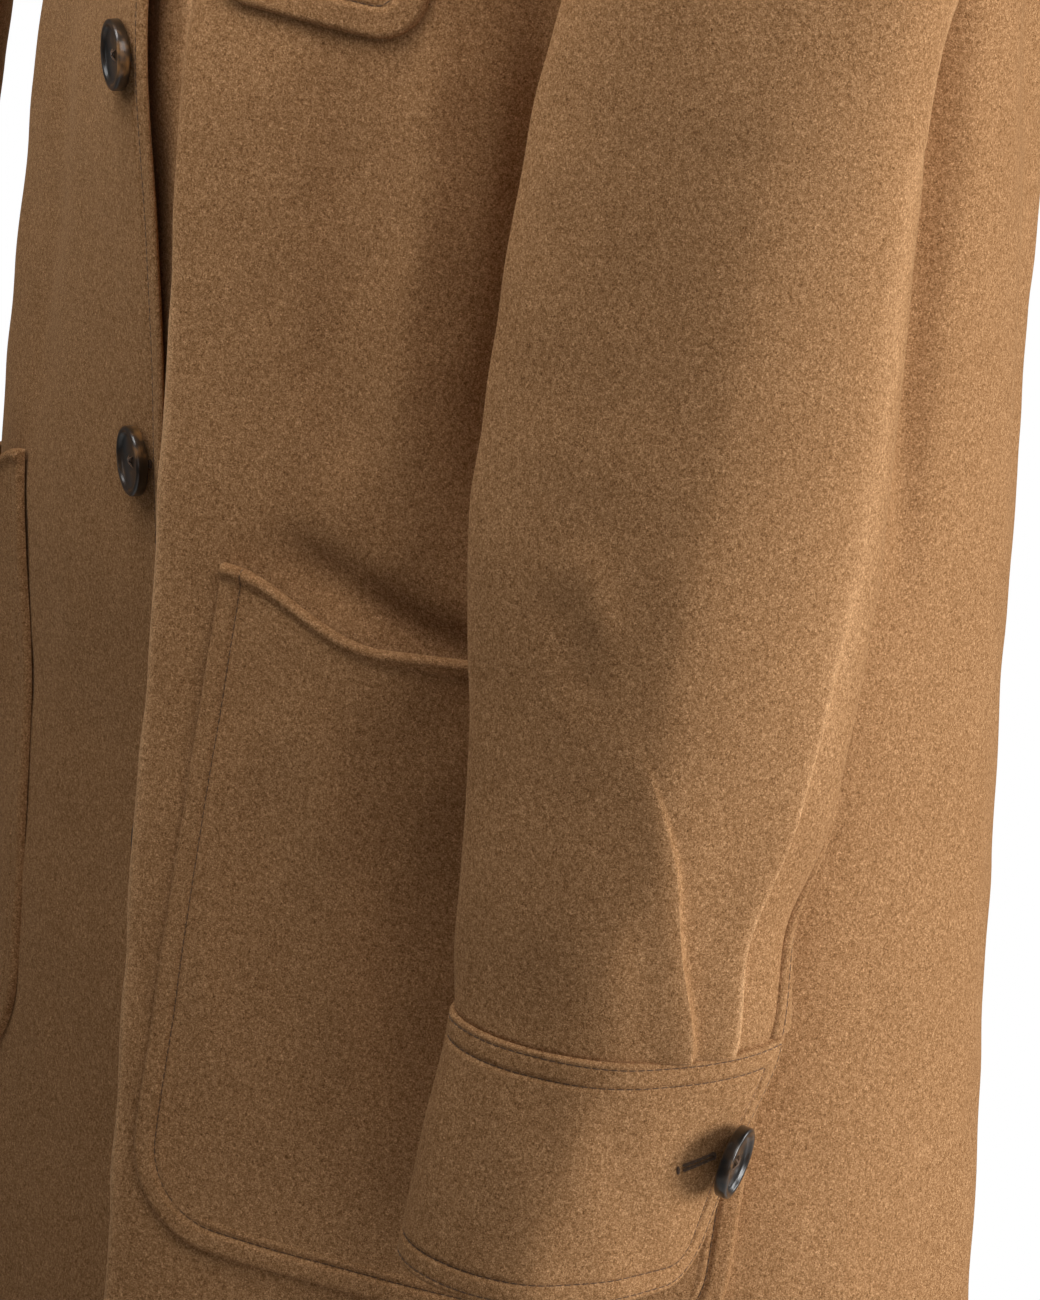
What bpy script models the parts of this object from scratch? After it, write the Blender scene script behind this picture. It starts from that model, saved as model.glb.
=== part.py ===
"""Single-breasted wool coat in its hollow worn form.

Metres, +Z up. The front faces -Y, the wearer's left is +X and the origin is the neck point level
on the shoulder line. Cloth panels are lofts on one body form, then given a wall.
"""
import math

import bmesh
import bpy
import numpy as np
from mathutils import Matrix, Vector
from mathutils.bvhtree import BVHTree

# driving dimensions
WALL = 0.0024
CUFF_WALL = 0.0032
POCKET_WALL = 0.0020
PLACKET_WALL = 0.0016
SEAM = 0.0003
HEM_Z = -1.060
OVERLAP_X = 0.016
UNDERLAP_X = -0.022
NECK_FRONT_Z = -0.075
NECK_BACK_DROP = 0.014
NECK_HALF_WIDTH = 0.072
ARMHOLE_Z = -0.170
ARMHOLE_RISE = 0.095
ARMHOLE_FRONT = 30.0
ARMHOLE_BACK = 34.0
ARM_SHARE = 0.60
BODY_ROWS = 15
ARM_ROWS = 12
NECK_SHARE = ARM_SHARE + (1 - ARM_SHARE) * 7 / ARM_ROWS
BACK_SHARE = ARM_SHARE + (1 - ARM_SHARE) * 8 / ARM_ROWS
LAP_SHARE = 0.2
NECK_EASE = 0.0020
BUTTON_RADIUS = 0.0125
BUTTON_THICK = 0.0045
# front buttons from the top: height, and how far each is tipped outward in degrees
FRONT_BUTTONS = ((-0.101, 0.0), (-0.244, 6.0), (-0.387, 4.0), (-0.531, 8.0), (-0.674, 8.0))
BUTTON_X = -0.001
CUFF_BUTTON_ANGLE = -57.0
CUFF_BUTTON_Z = -0.7115
CUFF_BUTTON_TIP = 24.0
WOOL_COLOUR = (0.44, 0.24, 0.11, 1.0)
HORN_COLOUR = (0.03, 0.02, 0.015, 1.0)

# body form, a row per section from hem to neck
SECTION_COLUMNS = ("height", "half_width", "left_depth", "right_depth", "back_depth",
                   "left_round", "right_round", "back_round", "fold_shift")
SECTIONS = (
    (-1.060, 0.252, 0.182, 0.1365, 0.146, 1.80, 2.30, 2.20, 0.030),
    (-0.800, 0.236, 0.172, 0.1325, 0.147, 1.72, 2.30, 2.20, 0.030),
    (-0.650, 0.228, 0.167, 0.1350, 0.148, 1.66, 2.25, 2.25, 0.030),
    (-0.570, 0.224, 0.164, 0.147, 0.148, 1.62, 2.15, 2.30, 0.030),
    (-0.450, 0.219, 0.159, 0.160, 0.148, 1.58, 1.80, 2.35, 0.030),
    (-0.360, 0.215, 0.156, 0.170, 0.147, 1.55, 1.60, 2.40, 0.028),
    (-0.240, 0.210, 0.146, 0.154, 0.142, 1.65, 1.70, 2.40, 0.018),
    (-0.140, 0.205, 0.124, 0.126, 0.128, 1.85, 1.85, 2.30, 0.008),
    (-0.080, 0.195, 0.096, 0.096, 0.108, 2.00, 2.00, 2.20, 0.000),
    (-0.050, 0.165, 0.078, 0.078, 0.092, 2.00, 2.00, 2.10, 0.000),
    (-0.025, 0.115, 0.068, 0.068, 0.078, 2.00, 2.00, 2.00, 0.000),
    (0.000, 0.072, 0.060, 0.060, 0.066, 2.00, 2.00, 2.00, 0.000),
)
# the fold of the left front beside the closure, angles in degrees from centre front
FOLD_COLUMNS = ("height", "lift", "angle", "steep", "slack")
FOLD = (
    (-1.060, 0.030, 15.0, 9.0, 30.0),
    (-0.800, 0.026, 13.0, 9.0, 28.0),
    (-0.650, 0.020, 10.0, 8.0, 26.0),
    (-0.500, 0.012, 6.5, 7.0, 22.0),
    (-0.360, 0.008, 2.0, 5.0, 18.0),
    (-0.200, 0.003, 2.0, 5.0, 16.0),
    (-0.100, 0.000, 2.0, 5.0, 16.0),
)
# how far both fronts roll forward beside the closure
ROLL_COLUMNS = ("height", "depth")
ROLL = ((-0.560, 0.0), (-0.500, 0.0007), (-0.450, 0.0030), (-0.387, 0.0050),
        (-0.300, 0.0050), (-0.200, 0.0020), (-0.100, 0.0))
# how far the left front falls behind the right one at the closure
GAPE_COLUMNS = ("height", "depth")
GAPE = ((-1.060, 0.0022), (-0.600, 0.0014), (-0.500, 0.0014), (-0.420, 0.0050),
        (-0.340, 0.0060), (-0.250, 0.0030), (-0.150, 0.0012), (-0.070, 0.0012))
# soft hanging folds all round: angle in degrees, lift, half width in degrees, top and full heights
HANGS = (
    (118.0, 0.006, 10.0, -0.45, -0.90),
    (150.0, -0.005, 11.0, -0.40, -0.85),
    (180.0, 0.007, 12.0, -0.40, -0.90),
    (-150.0, -0.005, 11.0, -0.40, -0.85),
    (-118.0, 0.006, 10.0, -0.45, -0.90),
    (-62.0, 0.006, 11.0, -0.60, -0.95),
)
# left sleeve below the armhole, a row per level ring down the arm; the last three carry the cuff.
# droop is how steeply a ring falls towards its outward side
RING_COLUMNS = ("height", "x", "y", "half_long", "half_short", "facing", "round", "droop")
RINGS = (
    (-0.336, 0.2334, -0.0880, 0.0615, 0.0450, 56.0, 1.50, 0.00),
    (-0.500, 0.2348, -0.1000, 0.0678, 0.0450, 54.0, 1.45, 0.00),
    (-0.600, 0.2369, -0.1041, 0.0612, 0.0440, 53.0, 1.48, 0.03),
    (-0.645, 0.2348, -0.1100, 0.0547, 0.0410, 53.0, 1.58, 0.08),
    (-0.677, 0.2364, -0.1097, 0.0551, 0.0380, 53.0, 1.66, 0.11),
    (-0.715, 0.2326, -0.1182, 0.0520, 0.0370, 53.0, 1.64, 0.13),
    (-0.770, 0.2285, -0.1288, 0.0483, 0.0355, 53.0, 1.64, 0.15),
)
CUFF_TOP_Z = -0.6750
CUFF_FOOT_Z = -0.7600
CUFF_EASE = 0.0015
RIGHT_ARM_OUT = 0.042
# pleats running up from the cuff: angle round the sleeve, lift, rise above the cuff, drift upward
# and the power it drifts by
PLEATS = ((-30.0, 0.0050, 0.110, 50.0, 2.0), (-46.0, 0.0050, 0.170, -16.0, 1.0))
# where the cuff's outer end lies, how far it laps, and the strip above it
CUFF_END = -80.0
CUFF_LAP = 42.0
PLACKET_START = -68.0
PLACKET_SPAN = 22.0
PLACKET_RISE = 0.090
PLACKET_DRIFT = 34.0

# patch pockets: front edge x, top z there, width, height, even tilt and sag of the mouth, fall of
# the foot, corner radius and gape of the mouth
POCKETS = {
    "pocket_lower_left": (0.072, -0.5510, 0.214, 0.234, 0.0, 0.0205, 0.028, 0.034, 0.009),
    "pocket_lower_right": (-0.110, -0.5510, 0.186, 0.234, 0.0, 0.0205, 0.028, 0.034, 0.006),
    "pocket_chest_left": (0.038, -0.2400, 0.086, 0.119, 0.011, 0.0, 0.011, 0.020, 0.0),
}
SAG_SHARE = 0.30

# collar: a row per place round the neck, as turn from centre front
COLLAR_COLUMNS = ("turn", "stand", "down")
COLLAR = (
    (0.0, 0.026, 0.050),
    (25.0, 0.029, 0.044),
    (55.0, 0.033, 0.030),
    (90.0, 0.036, 0.022),
    (135.0, 0.040, 0.028),
    (180.0, 0.042, 0.032),
)


def smooth_rows(table, columns, name, at):
    """Read one column of a table at the given places, monotone and smooth between rows."""
    rows = np.array(sorted(table))
    xs = rows[:, 0]
    ys = rows[:, columns.index(name)]
    step = np.diff(xs)
    slope = np.diff(ys) / step
    tangent = np.concatenate([slope[:1], np.zeros(len(xs) - 2), slope[-1:]])
    for i in range(1, len(xs) - 1):
        if slope[i - 1] * slope[i] > 0:
            before = 2 * step[i] + step[i - 1]
            after = step[i] + 2 * step[i - 1]
            tangent[i] = (before + after) / (before / slope[i - 1] + after / slope[i])
    at = np.clip(at, xs[0], xs[-1])
    i = np.clip(np.searchsorted(xs, at, side="right") - 1, 0, len(xs) - 2)
    t = (at - xs[i]) / step[i]
    ease_in = (1 + 2 * t) * (1 - t) ** 2 * ys[i] + t * (1 - t) ** 2 * step[i] * tangent[i]
    ease_out = t * t * (3 - 2 * t) * ys[i + 1] + t * t * (t - 1) * step[i] * tangent[i + 1]
    return ease_in + ease_out


def ease(t):
    """Smooth step from 0 to 1."""
    t = np.clip(t, 0.0, 1.0)
    return t * t * (3 - 2 * t)


def body_form(angle, z):
    """Points of the outer body form at angles in degrees from centre front and heights."""
    angle, z = np.broadcast_arrays(np.asarray(angle, float), np.asarray(z, float))
    read = {name: smooth_rows(SECTIONS, SECTION_COLUMNS, name, z) for name in SECTION_COLUMNS[1:]}
    fold = {name: smooth_rows(FOLD, FOLD_COLUMNS, name, z) for name in FOLD_COLUMNS[1:]}
    sine = np.sin(np.radians(angle))
    cosine = np.cos(np.radians(angle))
    turn = np.degrees(np.arctan2(sine, cosine)) - fold["angle"]
    on_left = ease((turn + 2 * fold["steep"]) / (2 * fold["steep"]))
    front_round = read["right_round"] + (read["left_round"] - read["right_round"]) * on_left
    front_depth = read["right_depth"] + (read["left_depth"] - read["right_depth"]) * on_left
    at_front = 0.5 + 0.5 * np.tanh(3 * cosine)
    power = 2 / (read["back_round"] + (front_round - read["back_round"]) * at_front)
    depth = np.where(cosine >= 0, front_depth, read["back_depth"])
    x = read["half_width"] * np.sign(sine) * np.abs(sine) ** power
    x = x + read["fold_shift"] * np.maximum(cosine, 0) ** 6
    y = -depth * np.sign(cosine) * np.abs(cosine) ** power
    spread = np.where(turn < 0, fold["steep"], fold["slack"])
    y = y - fold["lift"] * np.exp(-(turn / spread) ** 2)
    roll = smooth_rows(ROLL, ROLL_COLUMNS, "depth", z) * (cosine > 0)
    y = y - roll * ease((x + 0.052) / 0.066) * ease((0.140 - x) / 0.100)
    swell = np.zeros_like(z)
    for hang_angle, lift, half, top, full in HANGS:
        gap = (angle - hang_angle + 180.0) % 360.0 - 180.0
        swell = swell + lift * ease((top - z) / (top - full)) * np.exp(-(gap / half) ** 2)
    reach = np.maximum(np.hypot(x, y), 1e-6)
    return np.stack([x * (1 + swell / reach), y * (1 + swell / reach), z], axis=-1)


def body_normal(angle, z):
    """Outward normals of the body form."""
    across = body_form(np.asarray(angle) + 0.05, z) - body_form(np.asarray(angle) - 0.05, z)
    upward = body_form(angle, np.asarray(z) + 1e-4) - body_form(angle, np.asarray(z) - 1e-4)
    normal = np.cross(across, upward)
    return normal / np.linalg.norm(normal, axis=-1, keepdims=True)


def front_angle(x, z):
    """Angle near centre front at which the body form has the given x at each height."""
    places = np.linspace(-80.0, 80.0, 1601)
    return np.array([np.interp(x, body_form(places, h)[:, 0], places) for h in np.ravel(z)])


def girth_angles(start, lengths, z):
    """Angles that lie the given lengths round the form from a start angle at one height."""
    way = 1.0 if lengths[-1] >= 0 else -1.0
    places = start + way * np.linspace(0.0, 150.0, 1501)
    run = np.linalg.norm(np.diff(body_form(places, z), axis=0), axis=1)
    travelled = np.concatenate([[0.0], np.cumsum(run)])
    return np.interp(np.abs(lengths), travelled, places)


def patch(bottom, top, left, right):
    """Fill a four-sided patch in angle and height from its four border rows."""
    u = bottom["u"][None, :, None]
    v = left["v"][:, None, None]
    b, t, le, r = (s["at"] for s in (bottom, top, left, right))
    ruled = (1 - v) * b[None] + v * t[None] + (1 - u) * le[:, None] + u * r[:, None]
    corners = (1 - u) * (1 - v) * b[0] + u * (1 - v) * b[-1] + (1 - u) * v * t[0] + u * v * t[-1]
    return ruled - corners


def armhole(turn, side):
    """Armhole places (angle, height): turn 0 at the shoulder, 90 in front, 180 under the arm."""
    turn = np.radians(turn)
    reach = np.where(np.sin(turn) > 0, ARMHOLE_FRONT, ARMHOLE_BACK)
    angle = 90.0 - reach * np.sin(turn)
    return np.stack([side * angle, ARMHOLE_Z + ARMHOLE_RISE * np.cos(turn)], axis=-1)


def neckline(turn):
    """Neckline places (angle, height) for turns of 0 at centre front to 180 at centre back."""
    turn = np.abs(np.asarray(turn, float))
    rise = np.sin(np.radians(np.minimum(turn, 90.0)))
    z = NECK_FRONT_Z * (1 - rise)
    half = smooth_rows(SECTIONS, SECTION_COLUMNS, "half_width", z)
    front = np.degrees(np.arcsin(np.clip(NECK_HALF_WIDTH * rise / half, 0, 1)))
    back = np.clip(turn - 90.0, 0.0, 90.0)
    z = z - NECK_BACK_DROP * np.sin(np.radians(back)) ** 2
    return np.where(turn <= 90.0, front, 90.0 + back), z


def new_material(name, colour, roughness):
    """A plain Principled material."""
    material = bpy.data.materials.new(name)
    material.use_nodes = True
    shader = material.node_tree.nodes["Principled BSDF"]
    shader.inputs["Base Color"].default_value = colour
    shader.inputs["Roughness"].default_value = roughness
    return material


def add_object(name, vertices, faces, material):
    """Put a mesh object in the part's collection."""
    mesh = bpy.data.meshes.new(name)
    mesh.from_pydata([tuple(float(c) for c in v) for v in vertices], [], faces)
    mesh.update()
    mesh.materials.append(material)
    thing = bpy.data.objects.new(name, mesh)
    bpy.data.collections["single_breasted_coat"].objects.link(thing)
    return thing


def cloth(name, grid, wall, material, closed=False, outward=False, flip=False):
    """Loft rows of points into a sheet and give it a wall on its inner or outer side."""
    rows, columns = grid.shape[:2]
    faces = []
    for i in range(rows - 1):
        for j in range(columns if closed else columns - 1):
            k = (j + 1) % columns
            face = (i * columns + j, i * columns + k, (i + 1) * columns + k, (i + 1) * columns + j)
            faces.append(face[::-1] if flip else face)
    thing = add_object(name, grid.reshape(-1, 3), faces, material)
    solid = thing.modifiers.new("wall", "SOLIDIFY")
    solid.thickness = wall
    solid.offset = 1.0 if outward else -1.0
    solid.use_even_offset = True
    solid.use_quality_normals = True
    return thing


def double_skin(name, skins, material):
    """Loft outer and inner skins of like grids into one closed panel.

    Each entry holds an outer grid, an inner grid and a flag that turns the faces over; grids that
    share border points are joined there.
    """
    outer = np.concatenate([skin[0].reshape(-1, 3) for skin in skins])
    inner = np.concatenate([skin[1].reshape(-1, 3) for skin in skins])
    keys = [tuple(np.round(point, 6)) for point in outer]
    first_of = {}
    same = [first_of.setdefault(key, k) for k, key in enumerate(keys)]
    faces = []
    first = 0
    for grid, _, flip in skins:
        rows, columns = grid.shape[:2]
        for i in range(rows - 1):
            for j in range(columns - 1):
                low = first + i * columns + j
                a, b, c, d = (same[k] for k in (low, low + 1, low + columns + 1, low + columns))
                for face in ([a, b, c], [a, c, d]):
                    faces.append(face[::-1] if flip else face)
        first += rows * columns
    count = len(outer)
    sides = {(a, b) for face in faces for a, b in zip(face, face[1:] + face[:1])}
    rim = [(b, a, a + count, b + count) for a, b in sides if (b, a) not in sides]
    back = [[k + count for k in face[::-1]] for face in faces]
    thing = add_object(name, np.concatenate([outer, inner]), faces + back + rim, material)
    mesh = bmesh.new()
    mesh.from_mesh(thing.data)
    loose = [corner for corner in mesh.verts if not corner.link_faces]
    bmesh.ops.delete(mesh, geom=loose, context="VERTS")
    mesh.to_mesh(thing.data)
    mesh.free()
    return thing


def seam_angle(z, side, back):
    """Angle of the side seam line at heights, half a seam gap in front of or behind the side."""
    places = 90.0 + np.linspace(-6.0, 6.0, 241)
    reach = SEAM * (0.7 if back else -0.7)
    return side * np.array([np.interp(reach, body_form(side * places, h)[:, 1], places) for h in z])


def panel_rows():
    """Shares of a panel's length for its rows, closer together beside the armhole."""
    below = np.linspace(0, ARM_SHARE, BODY_ROWS)
    return np.concatenate([below, np.linspace(ARM_SHARE, 1.0, ARM_ROWS + 1)[1:]])


def panel_places(u, v, inner, side, back):
    """Angle and height of a panel's grid from its inner border out to the side and armhole."""
    low = ARMHOLE_Z - ARMHOLE_RISE
    arm = np.clip((v - ARM_SHARE) / (1 - ARM_SHARE), 0, 1) * 180.0
    hole = armhole(180.0 + arm if back else 180.0 - arm, side)
    z = np.where(v <= ARM_SHARE, np.interp(v, [0, ARM_SHARE], [HEM_Z, low]), hole[:, 1])
    seam = side * seam_angle(z, side, back)
    angle = np.where(v <= ARM_SHARE, seam, side * hole[:, 0])
    angle = np.maximum(angle, seam) if back else np.minimum(angle, seam)
    outer = np.stack([side * angle, z], -1)
    top_z = inner[-1, 1] + (outer[-1, 1] - inner[-1, 1]) * u
    top = np.stack([seam_angle(top_z, side, back), top_z], -1)
    bottom = inner[0] + (outer[0] - inner[0]) * u[:, None]
    return patch({"u": u, "at": bottom}, {"at": top}, {"v": v, "at": inner}, {"at": outer})


def front_panel(name, side, material):
    """One front: side 1 is the wearer's left and lies under, side -1 the right and lies over."""
    steps = np.array([0, 2.5, 5, 7.5, 10, 12.5, 15, 18, 22, 27, 33, 40, 48, 57, 67, 78, 90, 102.0])
    u = steps / steps[-1]
    v = panel_rows()
    edge_z = np.interp(v, [0, ARM_SHARE, NECK_SHARE], [HEM_Z, ARMHOLE_Z - ARMHOLE_RISE, NECK_FRONT_Z])
    edge_angle = front_angle(UNDERLAP_X if side > 0 else OVERLAP_X, edge_z)
    share = np.clip((v - NECK_SHARE) / (1 - NECK_SHARE), 0, 1)
    turn = np.clip((share - LAP_SHARE) / (1 - LAP_SHARE), 0, 1) * 90.0
    neck_angle, neck_z = neckline(turn)
    seam = side * seam_angle(neck_z - NECK_EASE, side, False)
    lap = edge_angle * np.clip(1 - share / LAP_SHARE, 0, 1)
    inner_angle = np.where(turn > 0, side * np.minimum(neck_angle, seam), lap)
    inner = np.stack([inner_angle, np.where(share > 0, neck_z, edge_z) - NECK_EASE], -1)
    inner[0, 1] = HEM_Z
    places = panel_places(u, v, inner, side, False)
    grid = body_form(places[..., 0], places[..., 1])
    normal = body_normal(places[..., 0], places[..., 1])
    if side > 0:
        depth = WALL + 0.001 + smooth_rows(GAPE, GAPE_COLUMNS, "depth", places[..., 1])
        inset = depth * ease((OVERLAP_X + 0.024 - grid[..., 0]) / 0.017)
        grid = grid - normal * inset[..., None]
    return double_skin(name, [(grid, grid - normal * WALL, side < 0)], material)


def back_panel(name, material):
    """The back in one piece, laid out as two like halves that share the centre line."""
    u = np.linspace(0, 1, 11)
    v = panel_rows()
    halves = []
    for side in (1, -1):
        turn = 180.0 - np.clip((v - BACK_SHARE) / (1 - BACK_SHARE), 0, 1) * 90.0
        neck_angle, neck_z = neckline(turn)
        seam = side * seam_angle(neck_z - NECK_EASE, side, True)
        z = np.where(turn < 180.0, neck_z - NECK_EASE,
                     np.interp(v, [0, BACK_SHARE], [HEM_Z, -NECK_BACK_DROP - NECK_EASE]))
        inner = np.stack([side * np.maximum(neck_angle, seam), z], -1)
        places = panel_places(u, v, inner, side, True)
        grid = body_form(places[..., 0], places[..., 1])
        normal = body_normal(places[..., 0], places[..., 1])
        halves.append((grid, grid - normal * WALL, side > 0))
    return double_skin(name, halves, material)


def ring_points(turn, z, side, grow=0.0):
    """Sleeve points: turn 0 faces outward, 90 forward; heights are of the ring centres."""
    turn, z = np.broadcast_arrays(np.asarray(turn, float), np.asarray(z, float))
    read = {name: smooth_rows(RINGS, RING_COLUMNS, name, z) for name in RING_COLUMNS[1:]}
    cosine = np.cos(np.radians(turn))
    sine = np.sin(np.radians(turn))
    power = 2 / np.where(cosine > 0, read["round"], 2.0)
    short = (read["half_short"] + grow) * np.sign(cosine) * np.abs(cosine) ** power
    long = (read["half_long"] + grow) * np.sign(sine) * np.abs(sine) ** power
    facing = np.radians(read["facing"])
    x = read["x"] + np.sin(facing) * short - np.cos(facing) * long
    y = read["y"] - np.cos(facing) * short - np.sin(facing) * long
    x = x if side > 0 else -(x + RIGHT_ARM_OUT)
    return np.stack([x, y, z - read["droop"] * short], axis=-1)


def pleat_lift(turn, rise):
    """Lift of the pleats at angles round the sleeve and heights above the cuff."""
    lift = np.zeros_like(turn)
    for angle, height, reach, drift, power in PLEATS:
        share = np.clip(rise / reach, 0, 1)
        gap = turn - (angle + drift * share ** power)
        crest = np.where(gap < 0, np.exp(-(gap / 15.0) ** 2), np.exp(-(gap / 5.0) ** 2))
        lift = lift + height * (1 - ease(share)) * crest
    return lift


def clear_of_body(points, room):
    """Move points outward, level, until they stand the given room off the body form."""
    places = np.linspace(-180.0, 180.0, 721)
    moved = points.copy()
    for index in np.ndindex(points.shape[:-1]):
        x, y, z = points[index]
        form = body_form(places, z)
        around = np.unwrap(np.arctan2(form[:, 0], -form[:, 1]))
        limit = np.interp(math.atan2(x, -y), around, np.hypot(form[:, 0], form[:, 1]))
        reach = math.hypot(x, y)
        wanted = limit + room(z)
        if reach < wanted:
            moved[index][:2] = points[index][:2] * wanted / reach
    return moved


def sleeve_grid(side):
    """Outer sleeve form from the armhole down to the cuff seam."""
    turns = np.sort(np.concatenate([np.arange(0, 280, 15.0), np.arange(-75, 0, 7.5)]))
    places = armhole(turns, side)
    normal = body_normal(places[:, 0], places[:, 1])
    start = body_form(places[:, 0], places[:, 1]) + normal * 0.0008
    first_z = RINGS[0][0] - 0.04
    level = np.full_like(turns, first_z)
    end = ring_points(turns, level, side)
    fall = ring_points(turns, level - 0.01, side) - end
    fall = fall / np.linalg.norm(fall, axis=-1, keepdims=True)
    reach = np.linalg.norm(end - start, axis=-1, keepdims=True)
    leave = normal * 0.45 + np.array([0.40 * side, -0.15, -0.60])
    leave = leave / np.linalg.norm(leave, axis=-1, keepdims=True)
    t = np.array([0.0, 0.06, 0.16, 0.30, 0.46, 0.64, 0.82, 1.0])[:, None, None]
    cap = ((2 * t ** 3 - 3 * t ** 2 + 1) * start + (t ** 3 - 2 * t ** 2 + t) * leave * reach
           + (3 * t ** 2 - 2 * t ** 3) * end + (t ** 3 - t ** 2) * fall * reach)
    cap[1:] = clear_of_body(cap[1:], lambda z: 0.0025 + 0.010 * ease((-0.26 - z) / 0.12))
    heights = np.concatenate([np.linspace(first_z, -0.56, 5)[1:],
                              [-0.595, -0.620, -0.643, -0.661, CUFF_TOP_Z + 0.0006]])
    arm = []
    for z in heights:
        level = np.full_like(turns, z)
        ring = ring_points(turns, level, side)
        away = ring_points(turns, level, side, grow=0.01) - ring
        away = away / np.linalg.norm(away, axis=-1, keepdims=True)
        arm.append(ring + away * pleat_lift(turns, level - CUFF_TOP_Z)[:, None])
    return np.concatenate([cap, clear_of_body(np.array(arm), lambda z: 0.006)])


def sleeve(name, side, material):
    """One sleeve as an open tube."""
    return cloth(name, sleeve_grid(side), WALL, material, closed=True, flip=side < 0)


def cuff(name, side, material):
    """One cuff: a band round the wrist whose end laps over its start, with a round lower corner."""
    turns = np.concatenate([np.linspace(CUFF_END, CUFF_END + 360.0, 31),
                            np.linspace(CUFF_END + 360.0, CUFF_END + 360.0 + CUFF_LAP, 5)[1:]])
    under = ease((turns - (CUFF_END + 296.0)) / 52.0) * -(CUFF_WALL + 0.0008)
    heights = np.linspace(CUFF_TOP_Z, CUFF_FOOT_Z, 7)
    corner = (0.0, 0.0, 0.0, 1.0, 4.0, 9.0, 17.0)
    rows = []
    for z, cut in zip(heights, corner):
        around = turns.copy()
        around[:4] = np.linspace(CUFF_END + cut, turns[4], 5)[:4]
        rows.append(ring_points(around, np.full_like(around, z), side, grow=under + CUFF_EASE))
    return cloth(name, np.array(rows), CUFF_WALL, material, flip=side < 0)


def sleeve_placket(name, side, material):
    """The strip that binds the sleeve opening above the cuff, on the sleeve's own points."""
    rows = []
    for z in np.linspace(CUFF_TOP_Z + 0.0012, CUFF_TOP_Z + PLACKET_RISE, 7):
        start = PLACKET_START - PLACKET_DRIFT * (z - CUFF_TOP_Z) / PLACKET_RISE
        turns = np.linspace(start, start - PLACKET_SPAN, 5)
        level = np.full_like(turns, z)
        lift = pleat_lift(turns, level - CUFF_TOP_Z)
        rows.append(ring_points(turns, level, side, grow=SEAM + 0.0007 + lift))
    return cloth(name, np.array(rows), PLACKET_WALL, material, outward=True, flip=side < 0)


def pocket(name, side, material):
    """A patch pocket laid on its front, with round lower corners and a loose mouth."""
    front_x, top, width, height, tilt, sag, fall, radius, gape = POCKETS[name]
    across = np.array([0, 0.04, 0.12, 0.22, 0.34, 0.46, 0.56, 0.65, 0.73, 0.8, 0.86, 0.91, 0.96, 1.0])
    down = np.array([0, 0.12, 0.28, 0.45, 0.62, 0.76, 0.86, 0.92, 0.96, 0.985, 1.0])
    rows = []
    for share in down:
        drop = share * height
        below = max(0.0, drop - (height - radius))
        inset = radius - math.sqrt(max(0.0, radius ** 2 - below ** 2))
        row = []
        for p in across:
            length = inset + (width - 2 * inset) * p
            lean = length / width
            mouth = top - tilt * lean - sag * ease(lean / SAG_SHARE)
            z = mouth + (top - height - fall * lean - mouth) * share
            start = front_angle(front_x, np.array([z]))[0]
            angle = girth_angles(start, np.array([0.0, side * length]), z)[1]
            loose = ease(lean / 0.28) * ease((1 - lean) / 0.45) * (1 - ease(share / 0.45))
            lift = SEAM + 0.0003 + gape * loose
            row.append(body_form(angle, z) + body_normal(angle, z) * lift)
        rows.append(row)
    return cloth(name, np.array(rows), POCKET_WALL, material, outward=True, flip=side > 0)


def collar(name, material):
    """A plain turn-down collar: a stand on the neckline folded over into a fall."""
    stations = np.linspace(0.0, 180.0, 9)
    edge = body_form(*neckline(stations)) + np.array([0.0, 0.0, 2 * SEAM - NECK_EASE])
    turns = np.concatenate([np.linspace(6.0, 90.0, 8), np.linspace(90.0, 180.0, 7)[1:]])
    half = []
    for turn in turns:
        angle, z = (float(c) for c in neckline(turn))
        base = np.array([np.interp(turn, stations, edge[:, k]) for k in range(3)])
        outward = np.array([base[0] / 0.072 ** 2, (base[1] + 0.006) / 0.080 ** 2, 0.0])
        outward = outward / np.linalg.norm(outward)
        stand = float(smooth_rows(COLLAR, COLLAR_COLUMNS, "stand", turn))
        down = float(smooth_rows(COLLAR, COLLAR_COLUMNS, "down", turn))
        fold = ((-0.0010, 0.0), (-0.0030, 0.40 * stand), (-0.0034, 0.80 * stand), (-0.0010, stand + 0.0016),
                (0.0032, stand + 0.0028), (0.0064, stand - 0.0006))
        row = [base + outward * out + np.array([0.0, 0.0, up]) for out, up in fold]
        foot = body_form(angle, z - down) + body_normal(angle, z - down) * 0.0055
        middle = row[-1] + (foot - row[-1]) * 0.5 + outward * 0.002
        half.append(row + [middle, foot])
    half = np.array(half)
    other = half[:-1][::-1] * np.array([-1.0, 1.0, 1.0])
    grid = np.concatenate([half, other]).transpose(1, 0, 2)
    return cloth(name, grid, WALL, material, flip=True)


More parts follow.
